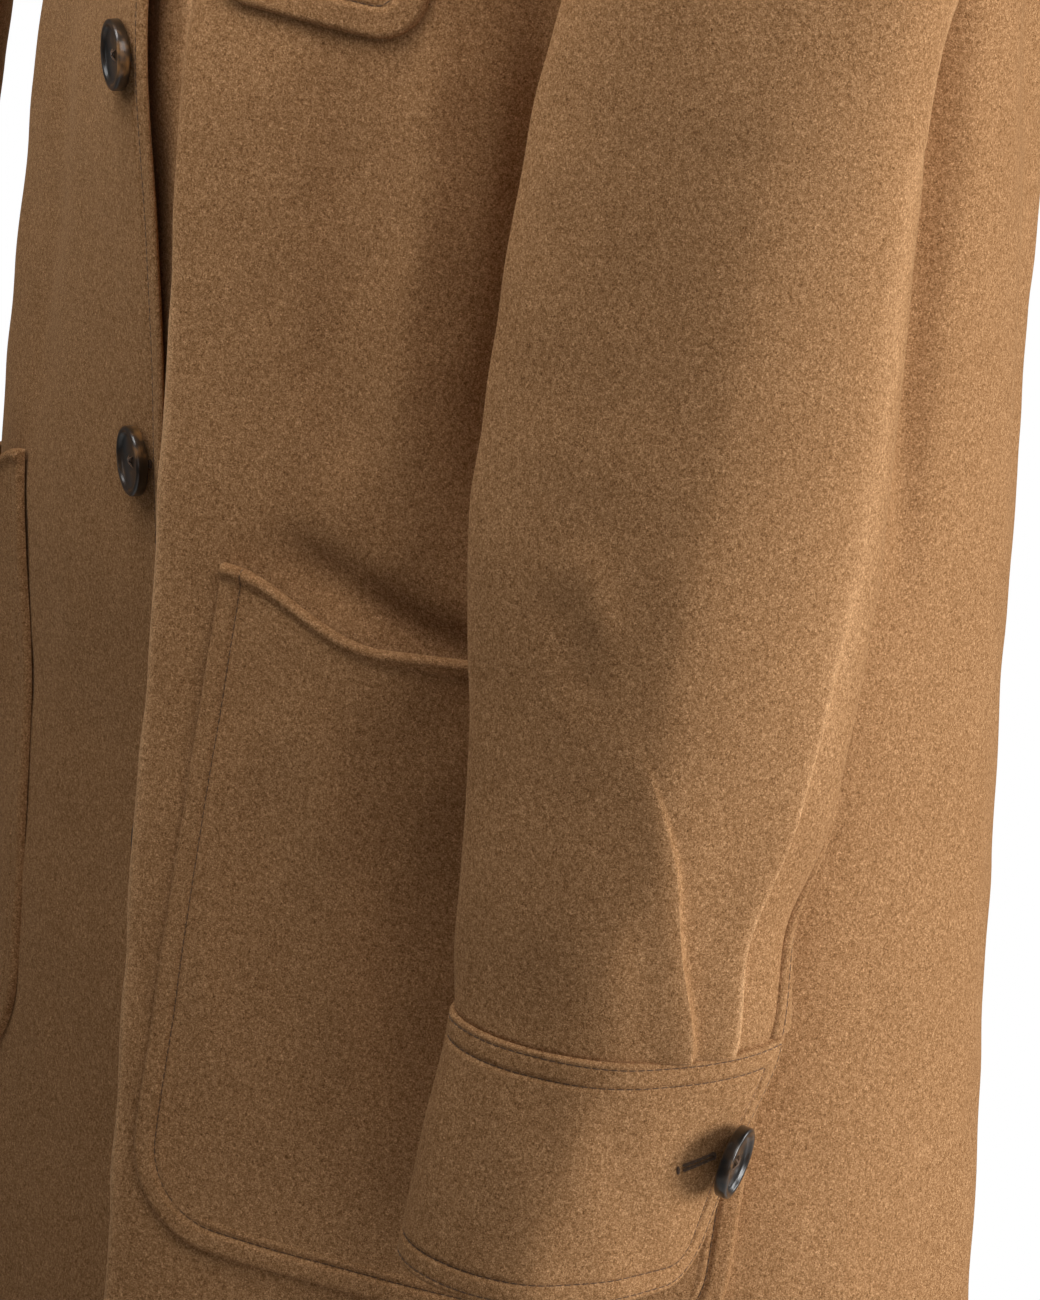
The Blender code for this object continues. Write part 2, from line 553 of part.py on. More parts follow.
def button(name, centre, normal, upward, material):
    """A turned four-hole button with a raised rim and a dished middle."""
    radius = BUTTON_RADIUS
    thick = BUTTON_THICK
    profile = ((0.0, 0.0), (0.72, 0.0), (0.95, 0.22), (1.0, 0.55), (0.94, 0.95), (0.82, 1.0),
               (0.66, 0.72), (0.0, 0.62))
    mesh = bmesh.new()
    rim = [mesh.verts.new((r * radius, 0.0, h * thick)) for r, h in profile]
    edges = [mesh.edges.new(pair) for pair in zip(rim, rim[1:])]
    bmesh.ops.spin(mesh, geom=rim + edges, cent=(0, 0, 0), axis=(0, 0, 1), angle=2 * math.pi, steps=16)
    bmesh.ops.remove_doubles(mesh, verts=mesh.verts, dist=0.0001)
    bmesh.ops.recalc_face_normals(mesh, faces=mesh.faces)
    data = bpy.data.meshes.new(name)
    mesh.to_mesh(data)
    mesh.free()
    data.materials.append(material)
    thing = bpy.data.objects.new(name, data)
    bpy.data.collections["single_breasted_coat"].objects.link(thing)
    for k, (sx, sy) in enumerate(((1, 1), (1, -1), (-1, 1), (-1, -1))):
        cut = hole_cutter(f"{name}_hole_{k}", sx * 0.19 * radius, sy * 0.19 * radius)
        tool = thing.modifiers.new(f"hole_{k}", "BOOLEAN")
        tool.operation = "DIFFERENCE"
        tool.object = cut
        tool.solver = "EXACT"
        place_on(cut, centre, normal, upward)
    place_on(thing, centre, normal, upward)
    return thing


def hole_cutter(name, x, y):
    """A small rod that bores one sewing hole."""
    mesh = bmesh.new()
    bmesh.ops.create_cone(mesh, cap_ends=True, segments=6, radius1=0.0010, radius2=0.0010,
                          depth=0.012, matrix=Matrix.Translation((x, y, 0.002)))
    data = bpy.data.meshes.new(name)
    mesh.to_mesh(data)
    mesh.free()
    thing = bpy.data.objects.new(name, data)
    bpy.data.collections["cutters"].objects.link(thing)
    thing.hide_render = True
    thing.display_type = "WIRE"
    return thing


def place_on(thing, centre, normal, upward):
    """Stand an object on a point with its local Z along the normal."""
    z = Vector(normal).normalized()
    x = Vector(upward).cross(z).normalized()
    y = z.cross(x)
    turn = Matrix((x, y, z)).transposed().to_4x4()
    thing.matrix_world = Matrix.Translation(Vector(centre)) @ turn


def seat(cloth_piece, point, normal, upward):
    """Centre of a button's back that rests a seam gap off the cloth at its highest point."""
    corners = [corner.co for corner in cloth_piece.data.vertices]
    tree = BVHTree.FromPolygons(corners, [face.vertices for face in cloth_piece.data.polygons])
    normal = Vector(normal).normalized()
    across = Vector(upward).cross(normal).normalized()
    level = normal.cross(across)
    heights = []
    back = ((0.0, 0.0), (0.4, 0.0), (0.72, 0.0), (0.95, 0.22), (1.0, 0.55))
    for share, rise, step in ((share, rise, k) for share, rise in back for k in range(24)):
        turn = math.radians(15.0 * step)
        offset = (across * math.cos(turn) + level * math.sin(turn)) * share * BUTTON_RADIUS
        hit = tree.ray_cast(Vector(point) + offset + normal * 0.02, -normal, 0.04)
        if hit[0] is not None:
            heights.append(0.02 - hit[3] - rise * BUTTON_THICK)
    return Vector(point) + normal * (max(heights) + SEAM)


def front_button(name, z, tip, panel, material):
    """A button on the centre-front line of the right front, tipped outward on its thread."""
    angle = front_angle(BUTTON_X, np.array([z]))[0]
    around = np.array([body_form(front_angle(BUTTON_X + x, np.array([z + h]))[0], z + h)
                       for x in (-0.011, 0.011) for h in (-0.011, 0.011)])
    across = around[2:].mean(0) - around[:2].mean(0)
    rising = around[1::2].mean(0) - around[::2].mean(0)
    normal = Matrix.Rotation(math.radians(-tip), 3, "Z") @ Vector(np.cross(across, rising))
    centre = seat(panel, body_form(angle, z), normal, rising)
    return button(name, centre, normal, rising, material)


def cuff_button(name, side, band, material):
    """The button near the lapped end of a cuff, tipped outward on its thread."""
    def at(turn, z):
        return ring_points(np.array([turn]), np.array([z]), side, grow=CUFF_EASE)[0]

    angle = CUFF_BUTTON_ANGLE
    z = CUFF_BUTTON_Z
    across = at(angle - 2, z) - at(angle + 2, z)
    rising = at(angle, z + 0.008) - at(angle, z - 0.008)
    normal = np.cross(across, rising) * side
    normal = Matrix.Rotation(math.radians(CUFF_BUTTON_TIP * side), 3, "Z") @ Vector(normal)
    centre = seat(band, at(angle, z), normal, rising)
    return button(name, centre, normal, rising, material)


def main():
    """Build every piece of the coat."""
    for thing in list(bpy.data.objects):
        bpy.data.objects.remove(thing, do_unlink=True)
    for name in ("single_breasted_coat", "cutters"):
        bpy.context.scene.collection.children.link(bpy.data.collections.new(name))
    wool = new_material("wool", WOOL_COLOUR, 0.95)
    horn = new_material("horn", HORN_COLOUR, 0.25)
    front_panel("front_left", 1, wool)
    right_front = front_panel("front_right", -1, wool)
    back_panel("back", wool)
    for word, side in (("left", 1), ("right", -1)):
        sleeve(f"sleeve_{word}", side, wool)
        band = cuff(f"cuff_{word}", side, wool)
        sleeve_placket(f"sleeve_placket_{word}", side, wool)
        cuff_button(f"button_cuff_{word}", side, band, horn)
    pocket("pocket_lower_left", 1, wool)
    pocket("pocket_lower_right", -1, wool)
    pocket("pocket_chest_left", 1, wool)
    collar("collar", wool)
    for k, (z, tip) in enumerate(FRONT_BUTTONS, 1):
        front_button(f"button_front_{k}", z, tip, right_front, horn)


main()
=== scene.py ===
"""Looks of a long single-breasted wool coat in its hollow worn form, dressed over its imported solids."""
import logging
import math
from dataclasses import dataclass
from enum import Enum
from typing import Any, Callable, Iterable, Optional, Sequence, Union

import bpy
import numpy as np
from mathutils import Matrix, Vector


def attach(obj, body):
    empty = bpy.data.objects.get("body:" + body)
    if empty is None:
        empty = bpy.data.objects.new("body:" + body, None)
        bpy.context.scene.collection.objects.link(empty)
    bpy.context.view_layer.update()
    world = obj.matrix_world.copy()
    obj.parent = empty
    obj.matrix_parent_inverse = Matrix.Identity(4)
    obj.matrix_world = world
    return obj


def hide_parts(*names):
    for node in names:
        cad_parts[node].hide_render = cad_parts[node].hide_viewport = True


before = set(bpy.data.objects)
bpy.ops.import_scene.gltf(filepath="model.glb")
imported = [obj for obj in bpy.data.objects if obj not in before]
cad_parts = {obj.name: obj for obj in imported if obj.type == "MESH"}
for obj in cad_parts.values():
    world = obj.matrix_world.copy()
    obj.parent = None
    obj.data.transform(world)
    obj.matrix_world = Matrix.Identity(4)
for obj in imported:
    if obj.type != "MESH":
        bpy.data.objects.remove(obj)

LOG = logging.getLogger("coat")
Array = np.ndarray
Colour = tuple[float, float, float, float]
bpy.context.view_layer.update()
NOISE_WAVES = 9
NOISE_LEVEL = 4.0
# painted highlight: attribute that lightens the wool's colour along crests and contour edges, standing in
# for rim light
PAINTED_RIM_HIGHLIGHT = "raised_nap"
SHARP_ANGLE = math.radians(52.0)
SHORTEST_LINE = 6
FRONT_BUTTON_HEIGHTS = (-0.101, -0.244, -0.387, -0.531, -0.674)


class Side(Enum):
    """Which side of the wearer a piece is on."""

    LEFT = 1
    RIGHT = -1

    def of(self, piece: str) -> str:
        """Name of a piece on this side."""
        return f"{piece}_{self.name.lower()}"


def ease(t: Array) -> Array:
    """Smooth step from 0 to 1."""
    t = np.clip(t, 0.0, 1.0)
    return t * t * (3 - 2 * t)


def unit(vectors: Array) -> Array:
    """Vectors of length one."""
    return vectors / np.maximum(np.linalg.norm(vectors, axis=-1, keepdims=True), 1e-12)


def soft_noise(points: Array, size: float, seed: int) -> Array:
    """Smooth seeded noise made of plane waves.

    Args:
        points: Places, with their coordinates on the last axis.
        size: Length of one swell in the units of the places.
        seed: Which noise it is.

    Returns:
        Values of about -1 to 1, one a place.
    """
    chance = np.random.default_rng(seed)
    total = np.zeros(points.shape[:-1])
    for _ in range(NOISE_WAVES):
        way = chance.normal(size=points.shape[-1])
        way *= chance.uniform(0.55, 1.45) * 2 * math.pi / size / np.linalg.norm(way)
        total += np.sin(points @ way + chance.uniform(0, 2 * math.pi))
    return total / NOISE_LEVEL


@dataclass(frozen=True)
class Table:
    """Rows of named columns, read smoothly by the first column."""

    columns: tuple[str, ...]
    rows: tuple[tuple[float, ...], ...]

    def at(self, name: str, places: Array) -> Array:
        """Read one column at places, monotone and smooth between rows.

        Args:
            name: Column to read.
            places: Values of the first column.

        Returns:
            The column's values there.
        """
        rows = np.array(sorted(self.rows))
        xs = rows[:, 0]
        ys = rows[:, self.columns.index(name)]
        step = np.diff(xs)
        slope = np.diff(ys) / step
        tangent = np.concatenate([slope[:1], np.zeros(len(xs) - 2), slope[-1:]])
        for i in range(1, len(xs) - 1):
            if slope[i - 1] * slope[i] > 0:
                before = 2 * step[i] + step[i - 1]
                after = step[i] + 2 * step[i - 1]
                tangent[i] = (before + after) / (before / slope[i - 1] + after / slope[i])
        places = np.clip(places, xs[0], xs[-1])
        i = np.clip(np.searchsorted(xs, places, side="right") - 1, 0, len(xs) - 2)
        t = (places - xs[i]) / step[i]
        first = (1 + 2 * t) * (1 - t) ** 2 * ys[i] + t * (1 - t) ** 2 * step[i] * tangent[i]
        return first + t * t * (3 - 2 * t) * ys[i + 1] + t * t * (t - 1) * step[i] * tangent[i + 1]


@dataclass(frozen=True)
class Crease:
    """A soft trough or ridge drawn from one place to another on a piece.

    Places are (round, height): degrees round the piece and metres. Height is above the cloth, and
    negative in a trough; bow bends the crease sideways, waver is how much its line wanders, and over is
    how far past its ends it fades out.
    """

    start: tuple[float, float]
    end: tuple[float, float]
    width: float
    height: float
    bow: float = 0.0
    waver: float = 0.25
    waver_size: float = 0.11
    fade: float = 0.35
    over: float = 0.05

    def lift(self, around: Array, z: Array, per_degree: float) -> Array:
        """Height of the crease at places.

        Args:
            around: Degrees round the piece.
            z: Heights.
            per_degree: Metres along the cloth for each degree.

        Returns:
            Lift in metres.
        """
        flat = np.stack([around * per_degree, z], -1)
        start = np.array([self.start[0] * per_degree, self.start[1]])
        run = np.array([self.end[0] * per_degree, self.end[1]]) - start
        length = float(np.hypot(*run))
        along = run / length
        t = (flat - start) @ along / length
        across = (flat - start) @ np.array([-along[1], along[0]])
        across = across - self.bow * np.sin(math.pi * np.clip(t, 0, 1))
        across = across + self.waver * self.width * soft_noise(flat, self.waver_size, 5)
        ends = ease((t + self.over) / self.fade) * ease((1 + self.over - t) / self.fade)
        return self.height * ends * np.exp(-(across / self.width) ** 2)


def crease_lift(creases: Iterable[Crease], around: Array, z: Array, per_degree: float) -> Array:
    """Lift of all the creases of a piece at places."""
    return sum((crease.lift(around, z, per_degree) for crease in creases), np.zeros(z.shape))


def apart(first: Array, second: Array) -> Array:
    """Distances between points."""
    return np.linalg.norm(first - second, axis=-1)


def run_length(lines: Array) -> Array:
    """Length up to each point of a line, or of each row of a grid."""
    steps = np.linalg.norm(np.diff(lines, axis=-2), axis=-1)
    return np.concatenate([np.zeros(steps.shape[:-1] + (1,)), np.cumsum(steps, axis=-1)], axis=-1)


def between(grid: Array, row: Array, column: Array) -> Array:
    """Read a grid between its rows and columns.

    Args:
        grid: Values, rows by columns.
        row: Row numbers with their fractions.
        column: Column numbers with theirs.

    Returns:
        The values there.
    """
    i = np.clip(row.astype(int), 0, grid.shape[0] - 2)
    j = np.clip(column.astype(int), 0, grid.shape[1] - 2)
    a, b = row - i, column - j
    return (grid[i, j] * (1 - a) * (1 - b) + grid[i + 1, j] * a * (1 - b)
            + grid[i, j + 1] * (1 - a) * b + grid[i + 1, j + 1] * a * b)


@dataclass(frozen=True)
class BodyForm:
    """The outer form of fronts and back, by degrees from centre front and height."""

    hem_z: float = -1.060
    overlap_x: float = 0.016
    underlap_x: float = -0.022
    neck_front_z: float = -0.075
    neck_back_drop: float = 0.014
    neck_half_width: float = 0.072
    neck_ease: float = 0.002
    armhole_z: float = -0.170
    armhole_rise: float = 0.095
    armhole_front: float = 30.0
    armhole_back: float = 34.0
    seam: float = 0.0003
    seam_half: float = 0.00002
    front_blend: float = 3.0
    shift_power: int = 6
    fold_power: float = 1.35
    roll_from: float = -0.052
    roll_rise: float = 0.066
    roll_to: float = 0.140
    roll_fall: float = 0.100
    turn_step: float = 0.05
    rise_step: float = 1e-4
    sections: Table = Table(
        ("height", "half_width", "left_depth", "right_depth", "back_depth",
         "left_round", "right_round", "back_round", "fold_shift"),
        ((-1.060, 0.252, 0.182, 0.1365, 0.146, 1.80, 2.30, 2.20, 0.030),
         (-0.800, 0.236, 0.172, 0.1325, 0.147, 1.72, 2.30, 2.20, 0.030),
         (-0.650, 0.228, 0.167, 0.1350, 0.148, 1.66, 2.25, 2.25, 0.030),
         (-0.570, 0.224, 0.164, 0.147, 0.148, 1.62, 2.15, 2.30, 0.030),
         (-0.450, 0.219, 0.159, 0.160, 0.148, 1.58, 1.80, 2.35, 0.030),
         (-0.360, 0.215, 0.156, 0.170, 0.147, 1.55, 1.60, 2.40, 0.028),
         (-0.240, 0.210, 0.146, 0.154, 0.142, 1.65, 1.70, 2.40, 0.018),
         (-0.140, 0.205, 0.124, 0.126, 0.128, 1.85, 1.85, 2.30, 0.008),
         (-0.080, 0.195, 0.096, 0.096, 0.108, 2.00, 2.00, 2.20, 0.000),
         (-0.050, 0.165, 0.078, 0.078, 0.092, 2.00, 2.00, 2.10, 0.000),
         (-0.025, 0.115, 0.068, 0.068, 0.078, 2.00, 2.00, 2.00, 0.000),
         (0.000, 0.072, 0.060, 0.060, 0.066, 2.00, 2.00, 2.00, 0.000)))
    fold: Table = Table(
        ("height", "lift", "angle", "steep", "slack"),
        ((-1.060, 0.030, 15.0, 9.0, 30.0), (-0.800, 0.026, 13.0, 9.0, 28.0),
         (-0.650, 0.020, 10.0, 8.0, 26.0), (-0.500, 0.012, 6.5, 7.0, 22.0),
         (-0.360, 0.008, 2.0, 5.0, 18.0), (-0.200, 0.003, 2.0, 5.0, 16.0), (-0.100, 0.000, 2.0, 5.0, 16.0)))
    roll: Table = Table(
        ("height", "depth"),
        ((-0.560, 0.0), (-0.500, 0.0007), (-0.450, 0.0030), (-0.387, 0.0050), (-0.300, 0.0050),
         (-0.200, 0.0020), (-0.100, 0.0)))
    gape: Table = Table(
        ("height", "depth"),
        ((-1.060, 0.0022), (-0.600, 0.0014), (-0.500, 0.0014), (-0.420, 0.0050), (-0.340, 0.0060),
         (-0.250, 0.0030), (-0.150, 0.0012), (-0.070, 0.0012)))
    hangs: tuple[tuple[float, ...], ...] = (
        (118.0, 0.006, 10.0, -0.45, -0.90), (150.0, -0.005, 11.0, -0.40, -0.85),
        (180.0, 0.007, 12.0, -0.40, -0.90), (-150.0, -0.005, 11.0, -0.40, -0.85),
        (-118.0, 0.006, 10.0, -0.45, -0.90), (-62.0, 0.006, 11.0, -0.60, -0.95))

    @property
    def armhole_low(self) -> float:
        """Height of the armholes' lowest places."""
        return self.armhole_z - self.armhole_rise

    def points(self, angle: Any, z: Any) -> Array:
        """Points of the form.

        Args:
            angle: Degrees from centre front, towards the wearer's left.
            z: Heights.

        Returns:
            Points with x, y, z on the last axis.
        """
        angle, z = np.broadcast_arrays(np.asarray(angle, float), np.asarray(z, float))
        read = {name: self.sections.at(name, z) for name in self.sections.columns[1:]}
        fold = {name: self.fold.at(name, z) for name in self.fold.columns[1:]}
        sine = np.sin(np.radians(angle))
        cosine = np.cos(np.radians(angle))
        turn = np.degrees(np.arctan2(sine, cosine)) - fold["angle"]
        on_left = ease((turn + 2 * fold["steep"]) / (2 * fold["steep"]))
        front_round = read["right_round"] + (read["left_round"] - read["right_round"]) * on_left
        front_depth = read["right_depth"] + (read["left_depth"] - read["right_depth"]) * on_left
        at_front = 0.5 + 0.5 * np.tanh(self.front_blend * cosine)
        power = 2 / (read["back_round"] + (front_round - read["back_round"]) * at_front)
        depth = np.where(cosine >= 0, front_depth, read["back_depth"])
        x = read["half_width"] * np.sign(sine) * np.abs(sine) ** power
        x = x + read["fold_shift"] * np.maximum(cosine, 0) ** self.shift_power
        y = -depth * np.sign(cosine) * np.abs(cosine) ** power
        spread = np.where(turn < 0, fold["steep"], fold["slack"])
        y = y - fold["lift"] * np.exp(-np.abs(turn / spread) ** self.fold_power)
        roll = self.roll.at("depth", z) * (cosine > 0)
        roll = roll * ease((x - self.roll_from) / self.roll_rise)
        y = y - roll * ease((self.roll_to - x) / self.roll_fall)
        swell = np.zeros_like(z)
        for hang_angle, lift, half, top, full in self.hangs:
            gap = (angle - hang_angle + 180.0) % 360.0 - 180.0
            swell = swell + lift * ease((top - z) / (top - full)) * np.exp(-(gap / half) ** 2)
        reach = np.maximum(np.hypot(x, y), 1e-6)
        return np.stack([x * (1 + swell / reach), y * (1 + swell / reach), z], axis=-1)

    def normals(self, angle: Any, z: Any) -> Array:
        """Outward normals of the form.

        Args:
            angle: Degrees from centre front.
            z: Heights.

        Returns:
            Unit vectors.
        """
        angle, z = np.asarray(angle, float), np.asarray(z, float)
        across = self.points(angle + self.turn_step, z) - self.points(angle - self.turn_step, z)
        upward = self.points(angle, z + self.rise_step) - self.points(angle, z - self.rise_step)
        return unit(np.cross(across, upward))

    def cloth(self, places: Array) -> tuple[Array, Array]:
        """Points and outward normals at places with angle and height on the last axis."""
        angle, z = places[..., 0], places[..., 1]
        return self.points(angle, z), self.normals(angle, z)

    def front_angle(self, x: float, z: Any) -> Array:
        """Angles near centre front at which the form has the given x at each height."""
        places = np.linspace(-80.0, 80.0, 1601)
        return np.array([np.interp(x, self.points(places, h)[:, 0], places) for h in np.ravel(z)])

    def level_run(self, x: float, z: float, side: Side) -> tuple[Array, Array]:
        """Lengths along one height from a place on the front towards a side, and the angles there."""
        angles = float(self.front_angle(x, z)[0]) + side.value * np.linspace(0.0, 150.0, 900)
        return run_length(self.points(angles, z)), angles

    def seam_angle(self, z: Array, side: Side, back: bool) -> Array:
        """Angles of the side seam at heights.

        Args:
            z: Heights.
            side: Side of the wearer.
            back: Whether the seam edge is the back panel's.

        Returns:
            Angles half a seam gap in front of or behind the side.
        """
        places = 90.0 + np.linspace(-6.0, 6.0, 241)
        reach = self.seam_half if back else -self.seam_half
        sign = side.value
        found = [np.interp(reach, self.points(sign * places, height)[:, 1], places) for height in z]
        return sign * np.array(found)

    def armhole(self, turn: Array, side: Side) -> Array:
        """Places on the armhole.

        Args:
            turn: Degrees round it: 0 at the shoulder, 90 in front, 180 under the arm.
            side: Side of the wearer.

        Returns:
            Places with angle and height on the last axis.
        """
        turn = np.radians(turn)
        reach = np.where(np.sin(turn) > 0, self.armhole_front, self.armhole_back)
        angle = 90.0 - reach * np.sin(turn)
        return np.stack([side.value * angle, self.armhole_z + self.armhole_rise * np.cos(turn)], axis=-1)

    def neckline(self, turn: Any) -> tuple[Array, Array]:
        """Places on the neckline.

        Args:
            turn: Degrees round it: 0 at centre front, 180 at centre back.

        Returns:
            Angles and heights.
        """
        turn = np.abs(np.asarray(turn, float))
        rise = np.sin(np.radians(np.minimum(turn, 90.0)))
        z = self.neck_front_z * (1 - rise)
        half = self.sections.at("half_width", z)
        front = np.degrees(np.arcsin(np.clip(self.neck_half_width * rise / half, 0, 1)))
        back = np.clip(turn - 90.0, 0.0, 90.0)
        z = z - self.neck_back_drop * np.sin(np.radians(back)) ** 2
        return np.where(turn <= 90.0, front, 90.0 + back), z

    def clear(self, points: Array, room: Callable[[Array], Array]) -> Array:
        """Move points level and outward until they stand some room off the form.

        Args:
            points: Points of a sleeve.
            room: Gives the room wanted at heights.

        Returns:
            The points, moved where they were too near.
        """
        flat = points.reshape(-1, 3).copy()
        places = np.linspace(-180.0, 180.0, 721)
        levels = np.linspace(flat[:, 2].min() - 0.001, flat[:, 2].max() + 0.001, 160)
        around = np.linspace(-math.pi, math.pi, 721)
        reach = []
        for z in levels:
            form = self.points(places, z)
            turn = np.unwrap(np.arctan2(form[:, 0], -form[:, 1]))
            reach.append(np.interp(around, turn, np.hypot(form[:, 0], form[:, 1])))
        row = (flat[:, 2] - levels[0]) / (levels[1] - levels[0])
        column = (np.arctan2(flat[:, 0], -flat[:, 1]) + math.pi) / (around[1] - around[0])
        wanted = between(np.array(reach), row, column) + room(flat[:, 2])
        now = np.hypot(flat[:, 0], flat[:, 1])
        flat[:, :2] *= np.where(now < wanted, wanted / now, 1.0)[:, None]
        return flat.reshape(points.shape)


@dataclass(frozen=True)
class Pleat:
    """A fold up from the cuff seam, with its turn there, lift and reach.

    Drift is how far it turns over its reach, by a power of the height, and nap how strong the painted rim
    highlight on its crest is.
    """

    turn: float
    lift: float
    reach: float
    drift: float
    power: float
    nap: float

    def crest(self, rise: Any) -> Array:
        """Degrees round the sleeve of the crest at heights above the cuff."""
        return self.turn + self.drift * np.clip(np.asarray(rise, float) / self.reach, 0, 1) ** self.power


@dataclass(frozen=True)
class ArmForm:
    """The outer form of sleeve and cuff, by degrees round the arm and height down it."""

    right_out: float = 0.042
    ridge_reach: float = 8.0
    ridge_full: float = 12.0
    ridge_fade: float = 34.0
    pleat_back: float = 1.9
    pleat_slope: float = 12.0
    pleat_share: float = 0.70
    pleat_fade: float = 1.6
    bend_from: float = -76.0
    bend_to: float = 66.0
    cuff_top: float = -0.6750
    cuff_foot: float = -0.7600
    cuff_ease: float = 0.0015
    rings: Table = Table(
        ("height", "x", "y", "half_long", "half_short", "facing", "round", "droop"),
        ((-0.336, 0.2334, -0.0880, 0.0615, 0.0450, 56.0, 1.85, 0.00),
         (-0.500, 0.2348, -0.1000, 0.0678, 0.0450, 54.0, 1.60, 0.00),
         (-0.600, 0.2369, -0.1041, 0.0612, 0.0440, 53.0, 1.50, 0.03),
         (-0.645, 0.2348, -0.1100, 0.0547, 0.0410, 53.0, 1.58, 0.08),
         (-0.677, 0.2364, -0.1097, 0.0551, 0.0380, 53.0, 1.66, 0.11),
         (-0.715, 0.2326, -0.1182, 0.0520, 0.0370, 53.0, 1.64, 0.13),
         (-0.770, 0.2285, -0.1288, 0.0483, 0.0355, 53.0, 1.64, 0.15)))
    lean: Table = Table(
        ("height", "shear"),
        ((-0.336, 0.26), (-0.450, 0.26), (-0.500, 0.17), (-0.560, 0.03), (-0.620, 0.0), (-0.660, -0.04),
         (-0.700, -0.16), (-0.770, -0.18)))
    pleats: tuple[Pleat, Pleat] = (
        Pleat(-30.0, 0.0050, 0.110, 50.0, 2.0, 0.25), Pleat(-46.0, 0.0050, 0.170, -16.0, 1.0, 0.85))

    def ring(self, turn: Array, z: Array, side: Side, grow: Any) -> Array:
        """Points of the plain rings, whose outward ridge is still sharp.

        Args:
            turn: Degrees round the arm: 0 faces outward, 90 forward.
            z: Heights of the ring centres.
            side: Side of the wearer.
            grow: Metres added to the ring.

        Returns:
            Points with x, y, z on the last axis.
        """
        read = {name: self.rings.at(name, z) for name in self.rings.columns[1:]}
        cosine = np.cos(np.radians(turn))
        sine = np.sin(np.radians(turn))
        power = 2 / np.where(cosine > 0, read["round"], 2.0)
        short = (read["half_short"] + grow) * np.sign(cosine) * np.abs(cosine) ** power
        long = (read["half_long"] + grow) * np.sign(sine) * np.abs(sine) ** power
        long = long - self.lean.at("shear", z) * np.maximum(short, 0.0)
        facing = np.radians(read["facing"])
        x = read["x"] + np.sin(facing) * short - np.cos(facing) * long
        y = read["y"] - np.cos(facing) * short - np.sin(facing) * long
        x = x if side is Side.LEFT else -(x + self.right_out)
        return np.stack([x, y, z - read["droop"] * short], axis=-1)

    def points(self, turn: Any, z: Any, side: Side, grow: Any = 0.0) -> Array:
        """Points round the arm, with the outward ridge rounded off.

        Args:
            turn: Degrees round the arm: 0 faces outward, 90 forward.
            z: Heights of the ring centres.
            side: Side of the wearer.
            grow: Metres added to the ring.

        Returns:
            Points with x, y, z on the last axis.
        """
        turn, z, grow = np.broadcast_arrays(*(np.asarray(part, float) for part in (turn, z, grow)))
        off = np.abs((turn + 180.0) % 360.0 - 180.0)
        reach = self.ridge_reach * (1 - ease((off - self.ridge_full) / self.ridge_fade))
        points = np.zeros(turn.shape + (3,))
        for step, weight in zip((-2, -1, 0, 1, 2), (1, 4, 6, 4, 1)):
            points += self.ring(turn + step * reach, z, side, grow) * (weight / 16)
        return points

    def follow(self, turns: Array, rise: Array) -> Array:
        """Bend columns so that each pleat's crest keeps to one of them.

        Args:
            turns: Degrees of the columns at the cuff.
            rise: Heights of the rows above the cuff.

        Returns:
            Degrees, rows by columns.
        """
        first, second = self.pleats
        marks = np.array([-180.0, self.bend_from, second.turn, first.turn, self.bend_to, 180.0])
        rows = []
        for height in rise:
            bent = marks.copy()
            bent[2:4] = second.crest(height), first.crest(height)
            rows.append(np.interp(turns, marks, bent))
        return np.array(rows)

    def pleat_lift(self, turn: Array, rise: Array) -> Array:
        """Lift of the pleats, each a fold that falls sharply on its back side.

        Args:
            turn: Degrees round the sleeve.
            rise: Heights above the cuff.

        Returns:
            Lift in metres.
        """
        lift = np.zeros_like(turn)
        for pleat in self.pleats:
            gap = turn - pleat.crest(rise)
            width = np.where(gap < 0, self.pleat_back, self.pleat_slope)
            fade = 1 - ease(np.clip(rise / pleat.reach, 0, 1) ** self.pleat_fade)
            lift = lift + self.pleat_share * pleat.lift * fade * np.exp(-(gap / width) ** 2)
        return lift


BODY = BodyForm()
ARM = ArmForm()
ELBOW_CREASES = (Crease((130.0, -0.430), (175.0, -0.520), 0.010, -0.0035),
                 Crease((-150.0, -0.440), (-118.0, -0.540), 0.011, -0.0035))


def grid_normals(grid: Array, closed: bool) -> Array:
    """Normals of a grid of points, rows by columns.

    Args:
        grid: Points.
        closed: Whether the columns go all round.

    Returns:
        Unit vectors along columns cross rows.
    """
    if closed:
        across = np.roll(grid, -1, 1) - np.roll(grid, 1, 1)
    else:
        across = np.gradient(grid, axis=1)
    return unit(np.cross(across, np.gradient(grid, axis=0)))


def close_round(index: Array) -> Array:
    """Point numbers of a grid with the first column again at the end."""
    return np.concatenate([index, index[..., :1]], axis=-1)


def quads(index: Array) -> Array:
    """Four-sided faces between neighbouring points of numbered grids."""
    corners = index[..., :-1, :-1], index[..., :-1, 1:], index[..., 1:, 1:], index[..., 1:, :-1]
    return np.stack(corners, -1).reshape(-1, 4)


